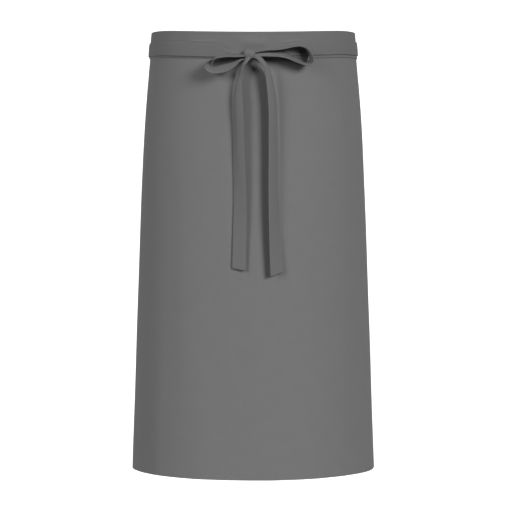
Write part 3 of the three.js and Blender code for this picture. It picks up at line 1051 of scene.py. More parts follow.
@dataclass
class SkirtPanel:
    """The panel: one sheet with hems turned in at both sides and below."""

    form: BodyForm
    rack: ClothRack
    width: float = 900 * MM
    band_height: float = 48 * MM
    top: float = 1.9 * MM
    side_hem: float = 11 * MM
    bottom_hem: float = 24 * MM
    hem_step_width: float = 5 * MM
    cloth: float = 0.55 * MM
    middle_out: float = 0.85 * MM
    layer_gap: float = 0.85 * MM
    fold_depth: float = 11 * MM
    fold_power: float = 1.2
    ripple_at_top: float = 0.35
    ripple_starts: float = 0.03
    stitch_inset: float = 1.6 * MM
    stitch_pitch: float = 3.2 * MM
    stitch_proud: float = 0.22 * MM
    line_before_hem: float = 1 * MM
    bend_pitch: float = 0.45 * MM
    side_hem_pitch: float = 4 * MM
    bottom_hem_pitch: float = 5 * MM
    above_hem_pitch: float = 4.5 * MM
    under_band_pitch: float = 9 * MM
    across_pitch: float = 4.4 * MM
    down_pitch: float = 8.2 * MM
    ripples: tuple[Ripple, ...] = (
        Ripple(0.34 * MM, 17.5 * MM, 1.3, wander=1.1, wander_turn=4.1),
        Ripple(0.26 * MM, 11.3 * MM, 0.4, lean=-1.6),
        Ripple(0.2 * MM, 7.1 * MM, 2.1, wander=0.9, wander_turn=6.3, wander_phase=1.0),
        Ripple(0.18 * MM, 50 * MM, lean=21.0),
    )
    folds: SmoothTable = SmoothTable(
        ("at", "spread", "depth"),
        (
            (-1.0, 0.1, 0.95),
            (-0.83, 0.09, -0.6),
            (-0.67, 0.08, 0.3),
            (-0.3, 0.1, 0.1),
            (-0.08, 0.08, -0.07),
            (0.17, 0.09, 0.09),
            (0.36, 0.08, -0.08),
            (0.7, 0.09, 0.35),
            (0.86, 0.08, -0.55),
            (1.0, 0.09, 1.0),
        ),
    )

    def drape(self, side: float, down: float) -> float:
        """How far folds and soft ripples carry the cloth outwards.

        Args:
            side: Length round the form.
            down: Distance below the rim.

        Returns:
            The distance outwards.
        """
        share = 2 * side / self.width
        below = max(down - self.band_height, 0.0) / (self.form.length - self.band_height)
        fold = 0.0
        for at, spread, depth in self.folds.rows:
            fold += depth * math.exp(-(((share - at) / spread) ** 2))
        ripple = sum(wave.lift(side, below) for wave in self.ripples)
        growing = self.ripple_at_top + (1 - self.ripple_at_top) * below
        gathered = smoothstep(0.0, self.ripple_starts, below)
        return fold * self.fold_depth * below**self.fold_power + ripple * gathered * growing

    def lay(self, across: float, along: float) -> tuple[float, float, float]:
        """Turn the hems in.

        Args:
            across: Distance from the flat cloth's middle.
            along: Distance from the rim down the flat cloth.

        Returns:
            The length round the form, the distance below the rim and the distance outwards.
        """
        side, side_depth = turned(abs(across), self.width / 2, self.layer_gap)
        down, hem_depth = turned(along, self.form.length, self.layer_gap)
        side_layer = side_depth / self.layer_gap
        hem_layer = hem_depth / self.layer_gap
        hem_starts = self.width / 2 - self.side_hem
        stacked = smoothstep(hem_starts - self.hem_step_width, hem_starts, side)
        layer = side_layer * (1 - hem_layer) + hem_layer * (1 + 2 * stacked - side_layer)
        return math.copysign(side, across), down, self.middle_out - layer * self.layer_gap

    def place(self, across: float, along: float) -> Vector:
        """Place a point of the flat cloth round the form."""
        side, down, out = self.lay(across, along)
        return self.form.place(side, down, out + self.drape(side, down))

    def grid_lines(self) -> tuple[list[float], list[float]]:
        """Space the sheet's lines, closely where it bends.

        Returns:
            The lines across, from the flat cloth's middle, and the lines along, from the rim.
        """
        half, length, bend = self.width / 2, self.form.length, 2 * self.layer_gap
        side_line = half - self.side_hem - self.line_before_hem
        bottom_line = length - self.bottom_hem - self.line_before_hem
        edge = joined(
            [side_line - self.hem_step_width, side_line],
            spaced(side_line, half - bend, self.side_hem_pitch),
            spaced(half - bend, half + bend, self.bend_pitch),
            spaced(half + bend, half + self.side_hem, self.side_hem_pitch),
        )
        inner = spaced(-edge[0], edge[0], self.across_pitch)
        across = joined([-value for value in reversed(edge)], inner, edge)
        along = joined(
            spaced(self.top, self.band_height, self.under_band_pitch),
            spaced(self.band_height, bottom_line, self.down_pitch),
            spaced(bottom_line, length - bend, self.above_hem_pitch),
            spaced(length - bend, length + bend, self.bend_pitch),
            spaced(length + bend, length + self.bottom_hem, self.bottom_hem_pitch),
        )
        return across, along

    def build(self) -> list[bpy.types.Object]:
        """Sew the panel and its hems' stitches.

        Returns:
            The pieces.
        """
        across, along = self.grid_lines()
        sheet = FlatCloth("skirt_panel_cloth", across, along, self.cloth)
        panel = sheet.sew(lambda i, j: self.place(across[i], along[j]), self.rack.skirt)
        declare(panel, Slot.SKIRT, ["skirt_panel"])
        rows = StitchRows("skirt_hem_stitches", proud=self.stitch_proud)
        stitches = rows.sew(self.hem_stitches(), self.rack.thread)
        declare(stitches, Slot.SKIRT)
        return [panel, stitches]

    def hem_stitches(self) -> list[StitchPlace]:
        """Place the stitches of the bottom hem and the two side hems.

        Returns:
            The stitches' places on the outside.
        """
        face = self.middle_out + self.cloth / 2
        hem_down = self.form.length - self.bottom_hem + self.stitch_inset
        hem_side = self.width / 2 - self.side_hem + self.stitch_inset

        def on_cloth(side: float, down: float) -> tuple[Vector, Vector]:
            """The outer face of the cloth, and its outward direction.

            Args:
                side: Length round the form.
                down: Distance below the rim.

            Returns:
                The place and the direction.
            """
            out = face + self.drape(side, down)
            at = self.form.place(side, down, out)
            return at, self.form.place(side, down, out + MM) - at

        places = stitches_along(lambda s: on_cloth(s, hem_down), (-hem_side, hem_side), self.stitch_pitch)
        run = (self.band_height + MM, hem_down)
        for hand in Hand:
            edge = hand.value * hem_side
            places += stitches_along(lambda d: on_cloth(edge, d), run, self.stitch_pitch)
        return places


# Waistband


@dataclass(frozen=True)
class Swell:
    """A stretch where the waistband's outer layer stands out a little."""

    start: float
    end: float
    ease: float
    down_start: float
    down_end: float
    half_height: float
    high: float

    def lift(self, side: float, down: float) -> float:
        """How far it lifts the cloth at a place on the band.

        Args:
            side: Length round the form.
            down: Distance below the rim.

        Returns:
            The distance outwards.
        """
        begun = smoothstep(self.start - self.ease, self.start + self.ease, side)
        left = smoothstep(self.end + self.ease, self.end - self.ease, side)
        share = min(max((side - self.start) / (self.end - self.start), 0.0), 1.0)
        middle = self.down_start + (self.down_end - self.down_start) * share
        return self.high * begun * left * math.exp(-(((down - middle) / self.half_height) ** 2))


@dataclass(frozen=True)
class Pucker:
    """Small waves that the seams draw into the band, and slow ones over its whole height."""

    seam: Ripple = Ripple(0.07 * MM, 1.55 * MM, wander=1.7, wander_turn=1 / (13 * MM))
    slow: Ripple = Ripple(0.12 * MM, 19 * MM, 0.8)
    edge_reach: float = 7 * MM
    rim_reach: float = 6 * MM
    rim_share: float = 0.5
    slow_starts: float = 10 * MM

    def lift(self, side: float, down: float, height: float) -> float:
        """How far they lift the cloth at a place on a band of a given height.

        Args:
            side: Length round the form.
            down: Distance below the rim.
            height: The band's height.

        Returns:
            The distance outwards.
        """
        near_edge = math.exp(-(((down - height) / self.edge_reach) ** 2))
        near_rim = self.rim_share * math.exp(-((down / self.rim_reach) ** 2))
        slow = self.slow.lift(side, 0.0) * smoothstep(0.0, self.slow_starts, down)
        return self.seam.lift(side, side) * (near_edge + near_rim) + slow


@dataclass
class Waistband:
    """One strip of cloth folded over the panel's top edge, its raw edges turned in."""

    form: BodyForm
    rack: ClothRack
    height: float = 48 * MM
    outer: float = 2.22 * MM
    inner: float = -1.05 * MM
    cloth: float = 0.55 * MM
    turn_gap: float = 0.72 * MM
    turn_in: float = 9 * MM
    turn_steps: int = 6
    rim_round: float = 1.7 * MM
    rim_steps: int = 10
    outer_pitch: float = 1.1 * MM
    inner_pitch: float = 5 * MM
    across_pitch: float = 2.6 * MM
    end_pitch: float = 0.2 * MM
    swell_starts: float = 2 * MM
    stitch_inset: float = 2 * MM
    stitch_pitch: float = 3 * MM
    pucker: Pucker = Pucker()
    swells: tuple[Swell, ...] = (
        Swell(-100 * MM, -30 * MM, 12 * MM, 2.6 * MM, 2.6 * MM, 1.3 * MM, 0.35 * MM),
        Swell(28 * MM, 92 * MM, 10 * MM, 2.6 * MM, 2.6 * MM, 1.3 * MM, 0.5 * MM),
        Swell(-112 * MM, -68 * MM, 7 * MM, 18.2 * MM, 18.5 * MM, 2.2 * MM, 1.15 * MM),
        Swell(53 * MM, 84 * MM, 7 * MM, 20.0 * MM, 16.4 * MM, 2.2 * MM, 1.15 * MM),
        Swell(-20 * MM, 24 * MM, 9 * MM, 20 * MM, 20 * MM, 8 * MM, 2.4 * MM),
    )

    def turned_edge(self, face: float, towards: float, low: float) -> list[tuple[float, float]]:
        """Turn a raw edge in at the bottom of the section.

        Args:
            face: How far out the face lies that it belongs to.
            towards: 1 where the raw edge lies outwards of that face, and -1 inwards.
            low: The section's lowest level.

        Returns:
            Points from the raw edge to the face: out and down.
        """
        bend = self.turn_gap / 2
        behind, middle = face + towards * 2 * bend, face + towards * bend
        points = [(behind, low - self.turn_in), (behind, low - self.turn_in / 2)]
        for i in range(self.turn_steps + 1):
            angle = math.pi * i / self.turn_steps
            out = middle + towards * bend * math.cos(angle)
            points.append((out, low - bend + bend * math.sin(angle)))
        return points

    def profile(self) -> list[tuple[float, float, float]]:
        """The folded strip's section.

        Returns:
            Points from the outer raw edge over the rim to the inner one: out, down and the
            distance along the cloth.
        """
        low = self.height - self.cloth / 2
        high = self.cloth / 2 + self.rim_round
        face_ends = low - self.turn_gap / 2
        points = self.turned_edge(self.outer, -1, low)
        points += [(self.outer, down) for down in spaced(face_ends, high, self.outer_pitch)[1:-1]]
        middle, reach = (self.outer + self.inner) / 2, (self.outer - self.inner) / 2
        for i in range(self.rim_steps + 1):
            angle = math.pi * i / self.rim_steps
            points.append((middle + reach * math.cos(angle), high - self.rim_round * math.sin(angle)))
        points += [(self.inner, down) for down in spaced(high, face_ends, self.inner_pitch)[1:-1]]
        points += reversed(self.turned_edge(self.inner, 1, low))
        length = 0.0
        rows = [(*points[0], length)]
        for before, after in zip(points, points[1:]):
            length += math.dist(before, after)
            rows.append((*after, length))
        return rows

    def swell(self, side: float, down: float) -> float:
        """How far the outer layer stands out under the rim, above the ties and over the knot."""
        below_rim = smoothstep(0.0, self.swell_starts, down)
        return below_rim * sum(swell.lift(side, down) for swell in self.swells)

    def place(self, side: float, out: float, down: float) -> Vector:
        """Place a point of the band's section at a length round the form.

        Args:
            side: Length round the form on the flat strip.
            out: The section's distance outwards.
            down: Distance below the rim.

        Returns:
            The place in metres.
        """
        half = self.form.band_half - self.cloth / 2
        middle = (self.outer + self.inner) / 2
        folded, depth = turned(abs(side), half, self.turn_gap)
        out -= math.copysign(depth, out - middle) if abs(out - middle) > depth else 0.0
        if out > middle:
            out += self.swell(side, down)
        out += self.pucker.lift(side, down, self.height)
        return self.form.place(math.copysign(folded, side), down, out)

    def build(self) -> list[bpy.types.Object]:
        """Sew the band and its stitches.

        Returns:
            The pieces.
        """
        section = self.profile()
        bend = self.turn_gap / 2
        face = self.form.band_half - self.cloth / 2 - bend
        end = spaced(face, face + math.pi * bend, self.end_pitch)
        across = joined([-value for value in reversed(end)], spaced(-face, face, self.across_pitch), end)
        along = [row[2] for row in section]
        sheet = FlatCloth("waistband_cloth", across, along, self.cloth)
        band = sheet.sew(lambda i, j: self.place(across[i], section[j][0], section[j][1]), self.rack.band)
        declare(band, Slot.BAND, ["waistband"])
        stitches = StitchRows("waistband_stitches").sew(self.seams(), self.rack.thread)
        declare(stitches, Slot.BAND)
        return [band, stitches]

    def seams(self) -> list[StitchPlace]:
        """Place the stitches along the lower edge, below the rim and across both ends.

        Returns:
            The stitches' places, on the outside and the inside.
        """
        half = self.form.band_half - self.stitch_inset
        levels = (self.stitch_inset, self.height - self.stitch_inset)
        places = []
        for face, outward in ((self.outer + self.cloth / 2, 1), (self.inner - self.cloth / 2, -1)):

            def on_band(side: float, down: float) -> tuple[Vector, Vector]:
                """A face of the band, and the direction away from it.

                Args:
                    side: Length round the form.
                    down: Distance below the rim.

                Returns:
                    The place and the direction.
                """
                swollen = self.swell(side, down) if outward > 0 else 0.0
                out = face + self.pucker.lift(side, down, self.height) + swollen
                at = self.form.place(side, down, out)
                return at, self.form.place(side, down, out + outward * MM) - at

            for down in levels:
                places += stitches_along(lambda s: on_band(s, down), (-half, half), self.stitch_pitch)
            for hand in Hand:
                edge = hand.value * half
                places += stitches_along(lambda d: on_band(edge, d), levels, self.stitch_pitch)
        return places


# Ties


class Station(NamedTuple):
    """One station of a tie: its centre on the form, and how the strip lies there."""

    side: float
    down: float
    out: float
    width: float
    roll: float
    fold: float = 0.0
    slant: float = 0.0
    pleat: float = 0.0


@dataclass(frozen=True)
class TieCut:
    """The make of both ties: cloth folded to a narrow strip and stitched along its open edge."""

    width: float = 25 * MM
    thickness: float = 1.7 * MM
    cad_thickness: float = 2.0 * MM
    clearance: float = 0.3 * MM
    band_face: float = 2.5 * MM
    across_steps: int = 12
    stitch_inset: float = 2.0 * MM
    stitch_pitch: float = 3.0 * MM
    pleats: float = 1.5
    pleat_phase: float = 0.6
    crease_power: float = 1.25

    @property
    def lying_out(self) -> float:
        """The middle of a tie that lies on the waistband."""
        return self.band_face + self.clearance + self.cad_thickness / 2

    @property
    def clear_of_tie(self) -> float:
        """The first distance outwards that is clear of a tie on the waistband."""
        return self.lying_out + self.cad_thickness / 2 + self.clearance

    @property
    def seam_share(self) -> float:
        """The place across of the stitches along an edge."""
        return 0.5 - self.stitch_inset / self.width


class TieStrip:
    """A stretch of tie along stations given in lengths round, down and out."""

    def __init__(self, node: str, form: BodyForm, cut: TieCut, stations: Sequence[Station]) -> None:
        """Work out each station's directions.

        Args:
            node: The CAD node that it stands for.
            form: What the strip goes round.
            cut: The tie's make.
            stations: Its stations, in order.
        """
        self.node = node
        self.form = form
        self.cut = cut
        self.stations = list(stations)
        self.middles = [Vector((s.side, -s.out, -s.down)) for s in self.stations]
        self.ways = [self._ways(i) for i in range(len(self.stations))]
        self.lengths = [0.0]
        for i in range(1, len(self.stations)):
            step = (self.point(i, 0.0) - self.point(i - 1, 0.0)).length
            self.lengths.append(self.lengths[-1] + step)

    def _ways(self, i: int) -> tuple[Vector, Vector, Vector]:
        """The directions along, across and out of the strip's face at a station.

        Args:
            i: The station's number.

        Returns:
            The three directions, each of length one.
        """
        before = self.middles[max(i - 1, 0)]
        after = self.middles[min(i + 1, len(self.middles) - 1)]
        along = (after - before).normalized()
        outwards = Vector((0.0, -1.0, 0.0))
        edge_on = (outwards - along * outwards.dot(along)).normalized()
        across = Quaternion(along, math.radians(self.stations[i].roll)) @ edge_on
        return along, across, along.cross(across)

    def point(self, i: int, share: float, proud: float = 0.0) -> Vector:
        """Find a point of the strip.

        Args:
            i: The station's number.
            share: Place across, from -0.5 to 0.5.
            proud: Distance out of the strip's middle.

        Returns:
            The point in metres.
        """
        station = self.stations[i]
        along, across, face = self.ways[i]
        from_edge = 1 - min(abs(2 * share) ** self.cut.crease_power, 1.0)
        crease = from_edge * station.fold * station.width
        turn = 2 * math.pi * self.cut.pleats * share + self.cut.pleat_phase
        wave = math.sin(turn) * station.pleat
        place = self.middles[i] + across * (share * station.width)
        place = place + along * (station.slant * share * station.width) + face * (crease + wave + proud)
        return self.form.place(place.x, -place.z, -place.y)

    def at_length(self, length: float, share: float, proud: float) -> Vector:
        """Find a point of the strip by the length along it.

        Args:
            length: Length along the strip.
            share: Place across, from -0.5 to 0.5.
            proud: Distance out of the strip's middle.

        Returns:
            The point in metres.
        """
        i = int(np.searchsorted(self.lengths, length)) - 1
        i = min(max(i, 0), len(self.lengths) - 2)
        part = (length - self.lengths[i]) / (self.lengths[i + 1] - self.lengths[i])
        part = min(max(part, 0.0), 1.0)
        return self.point(i, share, proud).lerp(self.point(i + 1, share, proud), part)

    def _on_faces(
        self, at: Callable[[float, float], Vector], faces: Sequence[int], run: Sequence[float]
    ) -> list[StitchPlace]:
        """Place stitches along a line on some of the strip's faces.

        Args:
            at: Gives a place for a length along the line and a distance out of the middle.
            faces: 1 for the outer face and -1 for the other one.
            run: The line's two ends.

        Returns:
            The stitches' places.
        """
        places = []
        proud = self.cut.thickness / 2
        for face in faces:

            def on_face(length: float) -> tuple[Vector, Vector]:
                """A face of the strip, and the direction away from it."""
                foot = at(length, face * proud)
                return foot, at(length, face * (proud + MM)) - foot

            places += stitches_along(on_face, run, self.cut.stitch_pitch)
        return places

    def edge_stitches(self, share: float, faces: Sequence[int], run: Sequence[float]) -> list[StitchPlace]:
        """Place stitches along one edge, at a place across, between two lengths."""
        return self._on_faces(lambda length, proud: self.at_length(length, share, proud), faces, run)

    def cross_stitches(self, length: float, faces: Sequence[int]) -> list[StitchPlace]:
        """Place stitches across the strip at a length along it.

        Args:
            length: Where they cross.
            faces: 1 for the outer face and -1 for the other one.

        Returns:
            The stitches' places.
        """
        width, inset = self.cut.width, self.cut.stitch_inset / self.cut.width
        run = (inset * width, (1 - inset) * width)
        return self._on_faces(lambda x, proud: self.at_length(length, x / width - 0.5, proud), faces, run)

    def sew(
        self, rack: ClothRack, offset: float, places: Sequence[StitchPlace], held: str, rests_on: str
    ) -> list[bpy.types.Object]:
        """Args:
            rack: The finished materials.
            offset: How far the flat layout is moved, so that no two strips share threads.
            places: Its stitches' places.
            held: Not used.
            rests_on: Not used.

        Returns:
            The pieces.
        """
        steps = self.cut.across_steps
        shares = [i / steps - 0.5 for i in range(steps + 1)]
        flat_across = [offset + share * self.cut.width for share in shares]
        sheet = FlatCloth(
            f"{self.node}_cloth", flat_across, self.lengths, self.cut.thickness, smooth_levels=1
        )
        piece = sheet.sew(lambda i, j: self.point(j, shares[i]), rack.tie)
        declare(piece, Slot.TIE, [self.node])
        stitches = StitchRows(f"{self.node}_stitches").sew(places, rack.thread)
        declare(stitches, Slot.TIE)
        return [piece, stitches]


@dataclass(frozen=True)
class WrapRun:
    """One tie's way round: its side, its level at the knot, and how it is gathered and crosses."""

    hand: Hand
    down: float
    gather: float
    gather_edge: SmoothTable
    crossing: SmoothTable


WRAP_RUNS = (
    WrapRun(Hand.LEFT, BodyForm.tie_down, 62 * MM, GATHER_LEFT_EDGE, CROSSING_UNDER),
    WrapRun(Hand.RIGHT, 31.6 * MM, 88 * MM, GATHER_RIGHT_EDGE, CROSSING_OVER),
)


@dataclass
class TieWrap:
    """A tie from its seam behind, round one side, to the knot."""

    form: BodyForm
    rack: ClothRack
    cut: TieCut
    run: WrapRun
    knot_side: float
    layout_offset: float = 0.1
    side_lift: float = 1.5 * MM
    start_down: float = 12 * MM
    start_width: float = 17 * MM
    crossing_width: float = 20 * MM
    crossing_ease: float = 122 * MM
    inserted: float = 1.3 * MM
    stand_off: float = 1.6 * MM
    stand_off_at: float = 0.85
    stand_off_reach: float = 0.5
    lean: float = 4.0
    hollow: float = 0.012
    pleat: float = 0.45 * MM
    pleat_from: float = 0.05
    pleat_full: float = 0.5
    line_out: float = 0.6 * MM
    behind_pitch: float = 3.2 * MM
    round_pitch: float = 3.4 * MM
    gather_pitch: float = 1.9 * MM
    seam_stitches: float = 5 * MM

    def station(self, length: float) -> Station:
        """Lay one station.

        Args:
            length: Distance round the form from the front centre.

        Returns:
            The station.
        """
        half_band = self.form.band_half
        opening = self.form.opening(self.form.tie_down)
        start = half_band + opening - self.cut.clearance
        drawn = (length - self.run.hand.value * self.knot_side) / self.run.gather
        along = min(max((start - length) / (start - half_band), 0.0), 1.0)
        around = min(length / (half_band + opening / 2), 1.0)
        settled = min(max((half_band - length) / self.crossing_ease, 0.0), 1.0)
        out = self.line_out + (self.cut.lying_out - self.line_out) * self.run.crossing.read(along, "out")
        wide = self.run.crossing.read(along, "wide")
        behind = self.start_width + (self.crossing_width - self.start_width) * wide
        fall_share = self.run.gather_edge.read(min(drawn, 1.0), "fall")
        fall = fall_share * self.cut.width
        lifted = self.run.down - self.side_lift * math.sin(min(2 * around, 1.0) * math.pi / 2)
        low = self.run.crossing.read(along, "low")
        pleat = self.pleat * smoothstep(self.pleat_from, self.pleat_full, fall_share)
        standing = math.exp(-(((drawn - self.stand_off_at) / self.stand_off_reach) ** 2))
        return Station(
            side=self.run.hand.value * length,
            down=self.start_down + (lifted - self.start_down) * low + fall / 2,
            out=out + pleat + self.stand_off * standing,
            width=behind + (self.cut.width - behind) * settled - fall,
            roll=90.0 - self.run.hand.value * self.lean * standing,
            fold=-self.hollow,
            pleat=pleat,
        )

    def build(self) -> list[bpy.types.Object]:
        """Sew the wrap and its stitches.

        Returns:
            The pieces.
        """
        half_band = self.form.band_half
        start = half_band + self.form.opening(self.form.tie_down) + self.inserted
        knot = self.run.hand.value * self.knot_side
        lengths = joined(
            spaced(start, half_band, self.behind_pitch),
            spaced(half_band, knot + self.run.gather, self.round_pitch),
            spaced(knot + self.run.gather, knot + self.cut.clearance / 2, self.gather_pitch),
        )
        node = f"tie_wrap_{self.run.hand.name.lower()}"
        strip = TieStrip(node, self.form, self.cut, [self.station(length) for length in lengths])
        lower = -self.run.hand.value * self.cut.seam_share
        places = strip.edge_stitches(lower, [-1], (0.0, strip.lengths[-1]))
        places += strip.cross_stitches(self.seam_stitches, [-1])
        offset = self.layout_offset * self.run.hand.value
        return strip.sew(self.rack, offset, places, "stretched", "waistband_cloth")


# Bow


@dataclass(frozen=True)
class LoopRun:
    """One loop: its side, its table, how far its tip reaches and what its rise is a share of."""

    hand: Hand
    table: SmoothTable
    reach: float
    rise: float


@dataclass(frozen=True)
class TailRun:
    """One hanging end: its side, table and length, and how far it hangs aside and off the panel.

    The slant is how much farther down its right corner reaches, a share of the width.
    """

    hand: Hand
    table: SmoothTable
    length: float
    aside: float
    off: float
    slant: float


@dataclass(frozen=True)
class Knot:
    """The knot: a gathered stretch of tie, wrapped round the loops' roots."""

    width: float = 21 * MM
    height: float = 17 * MM
    depth: float = 15 * MM
    side: float = -5.7 * MM
    down: float = 42 * MM
    rise: float = 2.2 * MM
    cloth: float = 1.1 * MM
    wrapped: float = 400.0
    starts_at: float = 100.0
    steps_round: int = 96
    steps_half: int = 14
    layer_lift: float = 1.21 * MM
    layer_begins: float = 0.5
    half_share: float = 0.46
    belly: float = 0.1
    rolled_gap: float = 2.6 * MM
    crown: float = 1.9 * MM
    crown_power: float = 2.4
    crease: float = 0.42 * MM
    crease_turn: float = 9.5
    crease_phase: float = 0.5
    crease_wander: float = 0.9
    crease_wander_turn: float = 1.2
    lean: float = 0.1
    layout_offset: float = 0.8

    def out(self, cut: TieCut) -> float:
        """The knot's middle, outwards from the form."""
        return cut.clear_of_tie + self.depth / 2

    def wrap_point(self, share: float, angle: float, width: float) -> Vector:
        """Find a point of the wrap, whose edges are rolled under.

        Args:
            share: Place across the tie, from -0.5 to 0.5.
            angle: How far the tie has gone round.
            width: The tie's width.

        Returns:
            The point from the knot's centre.
        """
        turn = angle + math.radians(self.starts_at)
        half = self.width * self.half_share * (1 - self.belly + self.belly * math.cos(turn))
        aside, rolled = turned(abs(share) * width, half, self.rolled_gap)
        layer = smoothstep(0.0, 1.0, (angle - self.layer_begins) / (2 * math.pi)) * self.layer_lift
        wander = self.crease_wander * math.sin(angle * self.crease_wander_turn)
        crease = self.crease * math.cos(self.crease_turn * share + wander + self.crease_phase)
        crown = self.crown * (aside / half) ** self.crown_power
        lift = layer + crease - crown - rolled - self.cloth / 2
        depth = (self.depth / 2 + lift) * math.cos(turn)
        height = (self.height / 2 + lift) * math.sin(turn)
        return Vector((math.copysign(aside, share) - self.lean * height, -depth, height))

    def build(self, form: BodyForm, rack: ClothRack, cut: TieCut) -> list[bpy.types.Object]:
        """Wrap the knot.

        Args:
            form: What the bow lies on.
            rack: The finished materials.
            cut: The tie's make.

        Returns:
            The pieces.
        """
        centre = form.place(self.side, self.down - self.rise, self.out(cut))
        across = [i / (2 * self.steps_half) - 0.5 for i in range(2 * self.steps_half + 1)]
        around = [math.radians(self.wrapped) * j / self.steps_round for j in range(self.steps_round + 1)]

        def place(i: int, j: int) -> Vector:
            """A point of the wrap by its numbers across and round."""
            return centre + self.wrap_point(across[i], around[j], cut.width)

        crown_line = [place(self.steps_half, j) for j in range(self.steps_round + 1)]
        flat_around = [0.0]
        for before, after in zip(crown_line, crown_line[1:]):
            flat_around.append(flat_around[-1] + (after - before).length)
        flat_across = [self.layout_offset + share * cut.width for share in across]
        sheet = FlatCloth("bow_knot_cloth", flat_across, flat_around, self.cloth, smooth_levels=1)
        wrap = sheet.sew(place, rack.tie)
        declare(wrap, Slot.TIE, ["bow_knot"])
        return [wrap]


@dataclass
class Bow:
    """The bow at the front: its knot, two loops and two hanging ends."""

    form: BodyForm
    rack: ClothRack
    cut: TieCut
    knot: Knot = Knot()
    loops: tuple[LoopRun, ...] = (
        LoopRun(Hand.LEFT, LOOP_LEFT, 70.5 * MM, 25 * MM),
        LoopRun(Hand.RIGHT, LOOP_RIGHT, 105 * MM, 16.5 * MM),
    )
    tails: tuple[TailRun, ...] = (
        TailRun(Hand.LEFT, TAIL_LEFT, 380 * MM, 21 * MM, 15 * MM, 0.15),
        TailRun(Hand.RIGHT, TAIL_RIGHT, 388 * MM, 46.5 * MM, 17 * MM, -0.2),
    )
    panel_face: float = 1.2 * MM
    loop_steps: int = 120
    loop_pleat: float = 0.9 * MM
    loop_pleat_full: float = 0.45
    loop_pleat_ends: float = 0.95
    loop_bare: float = 12 * MM
    loop_offset: float = 0.3
    tail_steps: int = 170
    tail_pleat: float = 0.6 * MM
    tail_pleat_full: float = 0.35
    tail_pleat_ends: float = 0.8
    tail_bare: float = 14 * MM
    tail_end_bare: float = 2 * MM
    tail_end_seam: float = 4 * MM
    tail_offset: float = 0.5
    slant_power: float = 12.0

    def loop(self, run: LoopRun) -> list[bpy.types.Object]:
        """Sew one loop.

        Args:
            run: Its side, table and sizes.

        Returns:
            The pieces.
        """
        stations = []
        for i in range(self.loop_steps + 1):
            share = i / self.loop_steps
            reach, rise, wide, roll = (run.table.along(share, name) for name in run.table.columns)
            standing = self.cut.clear_of_tie + wide * self.cut.width / 2
            stations.append(
                Station(
                    side=self.knot.side + run.hand.value * reach * run.reach,
                    down=self.knot.down - rise * run.rise,
                    out=max(standing, self.knot.out(self.cut)),
                    width=wide * self.cut.width,
                    roll=roll,
                    pleat=self.loop_pleat * smoothstep(self.loop_pleat_ends, self.loop_pleat_full, wide),
                )
            )
        strip = TieStrip(f"bow_loop_{run.hand.name.lower()}", self.form, self.cut, stations)
        ends = (self.loop_bare, strip.lengths[-1] - self.loop_bare)
        places = strip.edge_stitches(self.cut.seam_share, [1, -1], ends)
        offset = self.loop_offset * run.hand.value
        return strip.sew(self.rack, offset, places, "gathered", "bow_knot_cloth")

    def tail(self, run: TailRun) -> list[bpy.types.Object]:
        """Sew one hanging end.

        Args:
            run: Its side, table and sizes.

        Returns:
            The pieces.
        """
        stations = []
        for i in range(self.tail_steps + 1):
            share = i / self.tail_steps
            down, aside, off, wide, turn, fold = (
                run.table.along(share, name) for name in run.table.columns
            )
            stations.append(
                Station(
                    side=self.knot.side + aside * run.aside,
                    down=self.knot.down + down * run.length,
                    out=self.panel_face + off * run.off,
                    width=wide * self.cut.width,
                    roll=turn - 90,
                    fold=fold,
                    slant=run.slant * max(down, 0.0) ** self.slant_power,
                    pleat=self.tail_pleat * smoothstep(self.tail_pleat_ends, self.tail_pleat_full, wide),
                )
            )
        strip = TieStrip(f"tail_{run.hand.name.lower()}", self.form, self.cut, stations)
        length = strip.lengths[-1]
        ends = (self.tail_bare, length - self.tail_end_bare)
        places = strip.edge_stitches(self.cut.seam_share, [1, -1], ends)
        places += strip.cross_stitches(length - self.tail_end_seam, [1, -1])
        offset = self.tail_offset * run.hand.value
        return strip.sew(self.rack, offset, places, "hung", "bow_knot_cloth")

    def build(self) -> list[bpy.types.Object]:
        """Tie the bow.

        Returns:
            The pieces.
        """
        pieces = self.knot.build(self.form, self.rack, self.cut)
        for loop in self.loops:
            pieces += self.loop(loop)
        for tail in self.tails:
            pieces += self.tail(tail)
        return pieces


# Studio


@dataclass(frozen=True)
class SoftSun:
    """One soft studio light, given by where it comes from."""

    name: str
    azimuth: float
    elevation: float
    strength: float
    softness: float


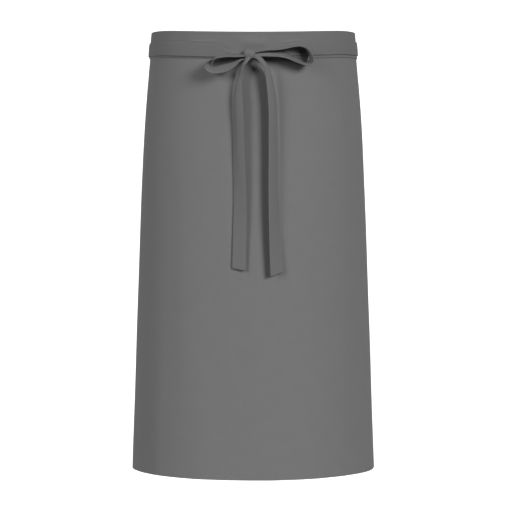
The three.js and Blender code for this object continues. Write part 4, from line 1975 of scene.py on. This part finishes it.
@dataclass
class Studio:
    """The camera, the plain floor and the lights."""

    camera_place: tuple[float, float, float] = (0.005, -6.0, 0.223)
    camera_tilt: float = 84.185
    lens: float = 233.06
    sensor_width: float = 36.0
    sight: float = 400.0
    floor_half: float = 150.0
    floor_down: float = 1.1
    floor_shade: float = 0.9
    floor_roughness: float = 0.9
    floor_glow: float = 0.62
    ambient: float = 0.012
    backdrop: float = 1.0
    lights: tuple[SoftSun, ...] = (
        SoftSun("key", 40.0, 23.0, 2.95, 22.0),
        SoftSun("fill", -46.0, 20.0, 1.6, 22.0),
        SoftSun("left_side", -88.0, 8.0, 0.6, 24.0),
        SoftSun("back", 178.0, 24.0, 1.7, 40.0),
    )

    def build(self) -> None:
        """Set the studio up."""
        self._camera()
        self._floor()
        self._lights()
        self._world()
        bpy.context.scene.view_settings.view_transform = "Standard"

    def _camera(self) -> None:
        """Set the camera at the photograph's angle."""
        camera = bpy.data.objects.new("camera", bpy.data.cameras.new("camera"))
        bpy.context.scene.collection.objects.link(camera)
        camera.location = self.camera_place
        camera.rotation_euler = (math.radians(self.camera_tilt), 0.0, 0.0)
        camera.data.lens = self.lens
        camera.data.sensor_width = self.sensor_width
        camera.data.clip_end = self.sight
        bpy.context.scene.camera = camera

    def _floor(self) -> None:
        """Lay the plain pale floor, which glows for the camera and throws no light on the cloth."""
        mesh = bmesh.new()
        bmesh.ops.create_grid(mesh, x_segments=1, y_segments=1, size=self.floor_half)
        bmesh.ops.translate(mesh, verts=mesh.verts, vec=(0.0, 0.0, -self.floor_down))
        material = bpy.data.materials.new("pale_floor")
        material.use_nodes = True
        looks = {
            "Base Color": (self.floor_shade, self.floor_shade, self.floor_shade, 1.0),
            "Roughness": self.floor_roughness,
            "Emission Color": (1.0, 1.0, 1.0, 1.0),
            "Emission Strength": self.floor_glow,
        }
        for name, value in looks.items():
            material.node_tree.nodes["Principled BSDF"].inputs[name].default_value = value
        floor = as_piece("studio_floor", mesh, material)
        floor.visible_diffuse = False

    def _lights(self) -> None:
        """Hang the soft lights."""
        for light in self.lights:
            data = bpy.data.lights.new(light.name, "SUN")
            data.energy = light.strength
            data.angle = math.radians(light.softness)
            lamp = bpy.data.objects.new(light.name, data)
            bpy.context.scene.collection.objects.link(lamp)
            tilt, turn = math.radians(light.elevation), math.radians(light.azimuth)
            level = Vector((math.sin(turn), -math.cos(turn), 0.0)) * math.cos(tilt)
            back = level + Vector((0.0, 0.0, math.sin(tilt)))
            lamp.rotation_mode = "QUATERNION"
            lamp.rotation_quaternion = back.to_track_quat("Z", "Y")

    def _world(self) -> None:
        """Give the room its even light, and let the camera see it pale."""
        world = bpy.data.worlds.new("studio_room")
        bpy.context.scene.world = world
        world.use_nodes = True
        sketch = NodeSketch(world.node_tree)
        rays = sketch.add("ShaderNodeLightPath")
        strength = sketch.add("ShaderNodeMix", {"data_type": "FLOAT"})
        sketch.feed(strength.inputs[0], rays.outputs["Is Camera Ray"])
        sketch.feed(strength.inputs[2], self.ambient)
        sketch.feed(strength.inputs[3], self.backdrop)
        room = sketch.add("ShaderNodeBackground")
        sketch.fill(room, {"Color": (1.0, 1.0, 1.0, 1.0), "Strength": strength.outputs[0]})
        sketch.feed(sketch.add("ShaderNodeOutputWorld").inputs["Surface"], room.outputs[0])


def report(pieces: Sequence[bpy.types.Object]) -> None:
    """Log what each piece is made of."""
    for piece in pieces:
        log.info("%s: %d faces before its modifiers", piece.name, len(piece.data.polygons))


def main() -> None:
    """Build the apron and its studio."""
    logging.basicConfig(level=logging.INFO, format="%(name)s: %(message)s")
    form, rack, cut = BodyForm(), ClothRack.filled(), TieCut()
    Studio().build()
    bow = Bow(form, rack, cut)
    report(SkirtPanel(form, rack).build())
    report(Waistband(form, rack).build())
    for run in WRAP_RUNS:
        report(TieWrap(form, rack, cut, run, bow.knot.side).build())
    report(bow.build())


if __name__ == "__main__":
    main()
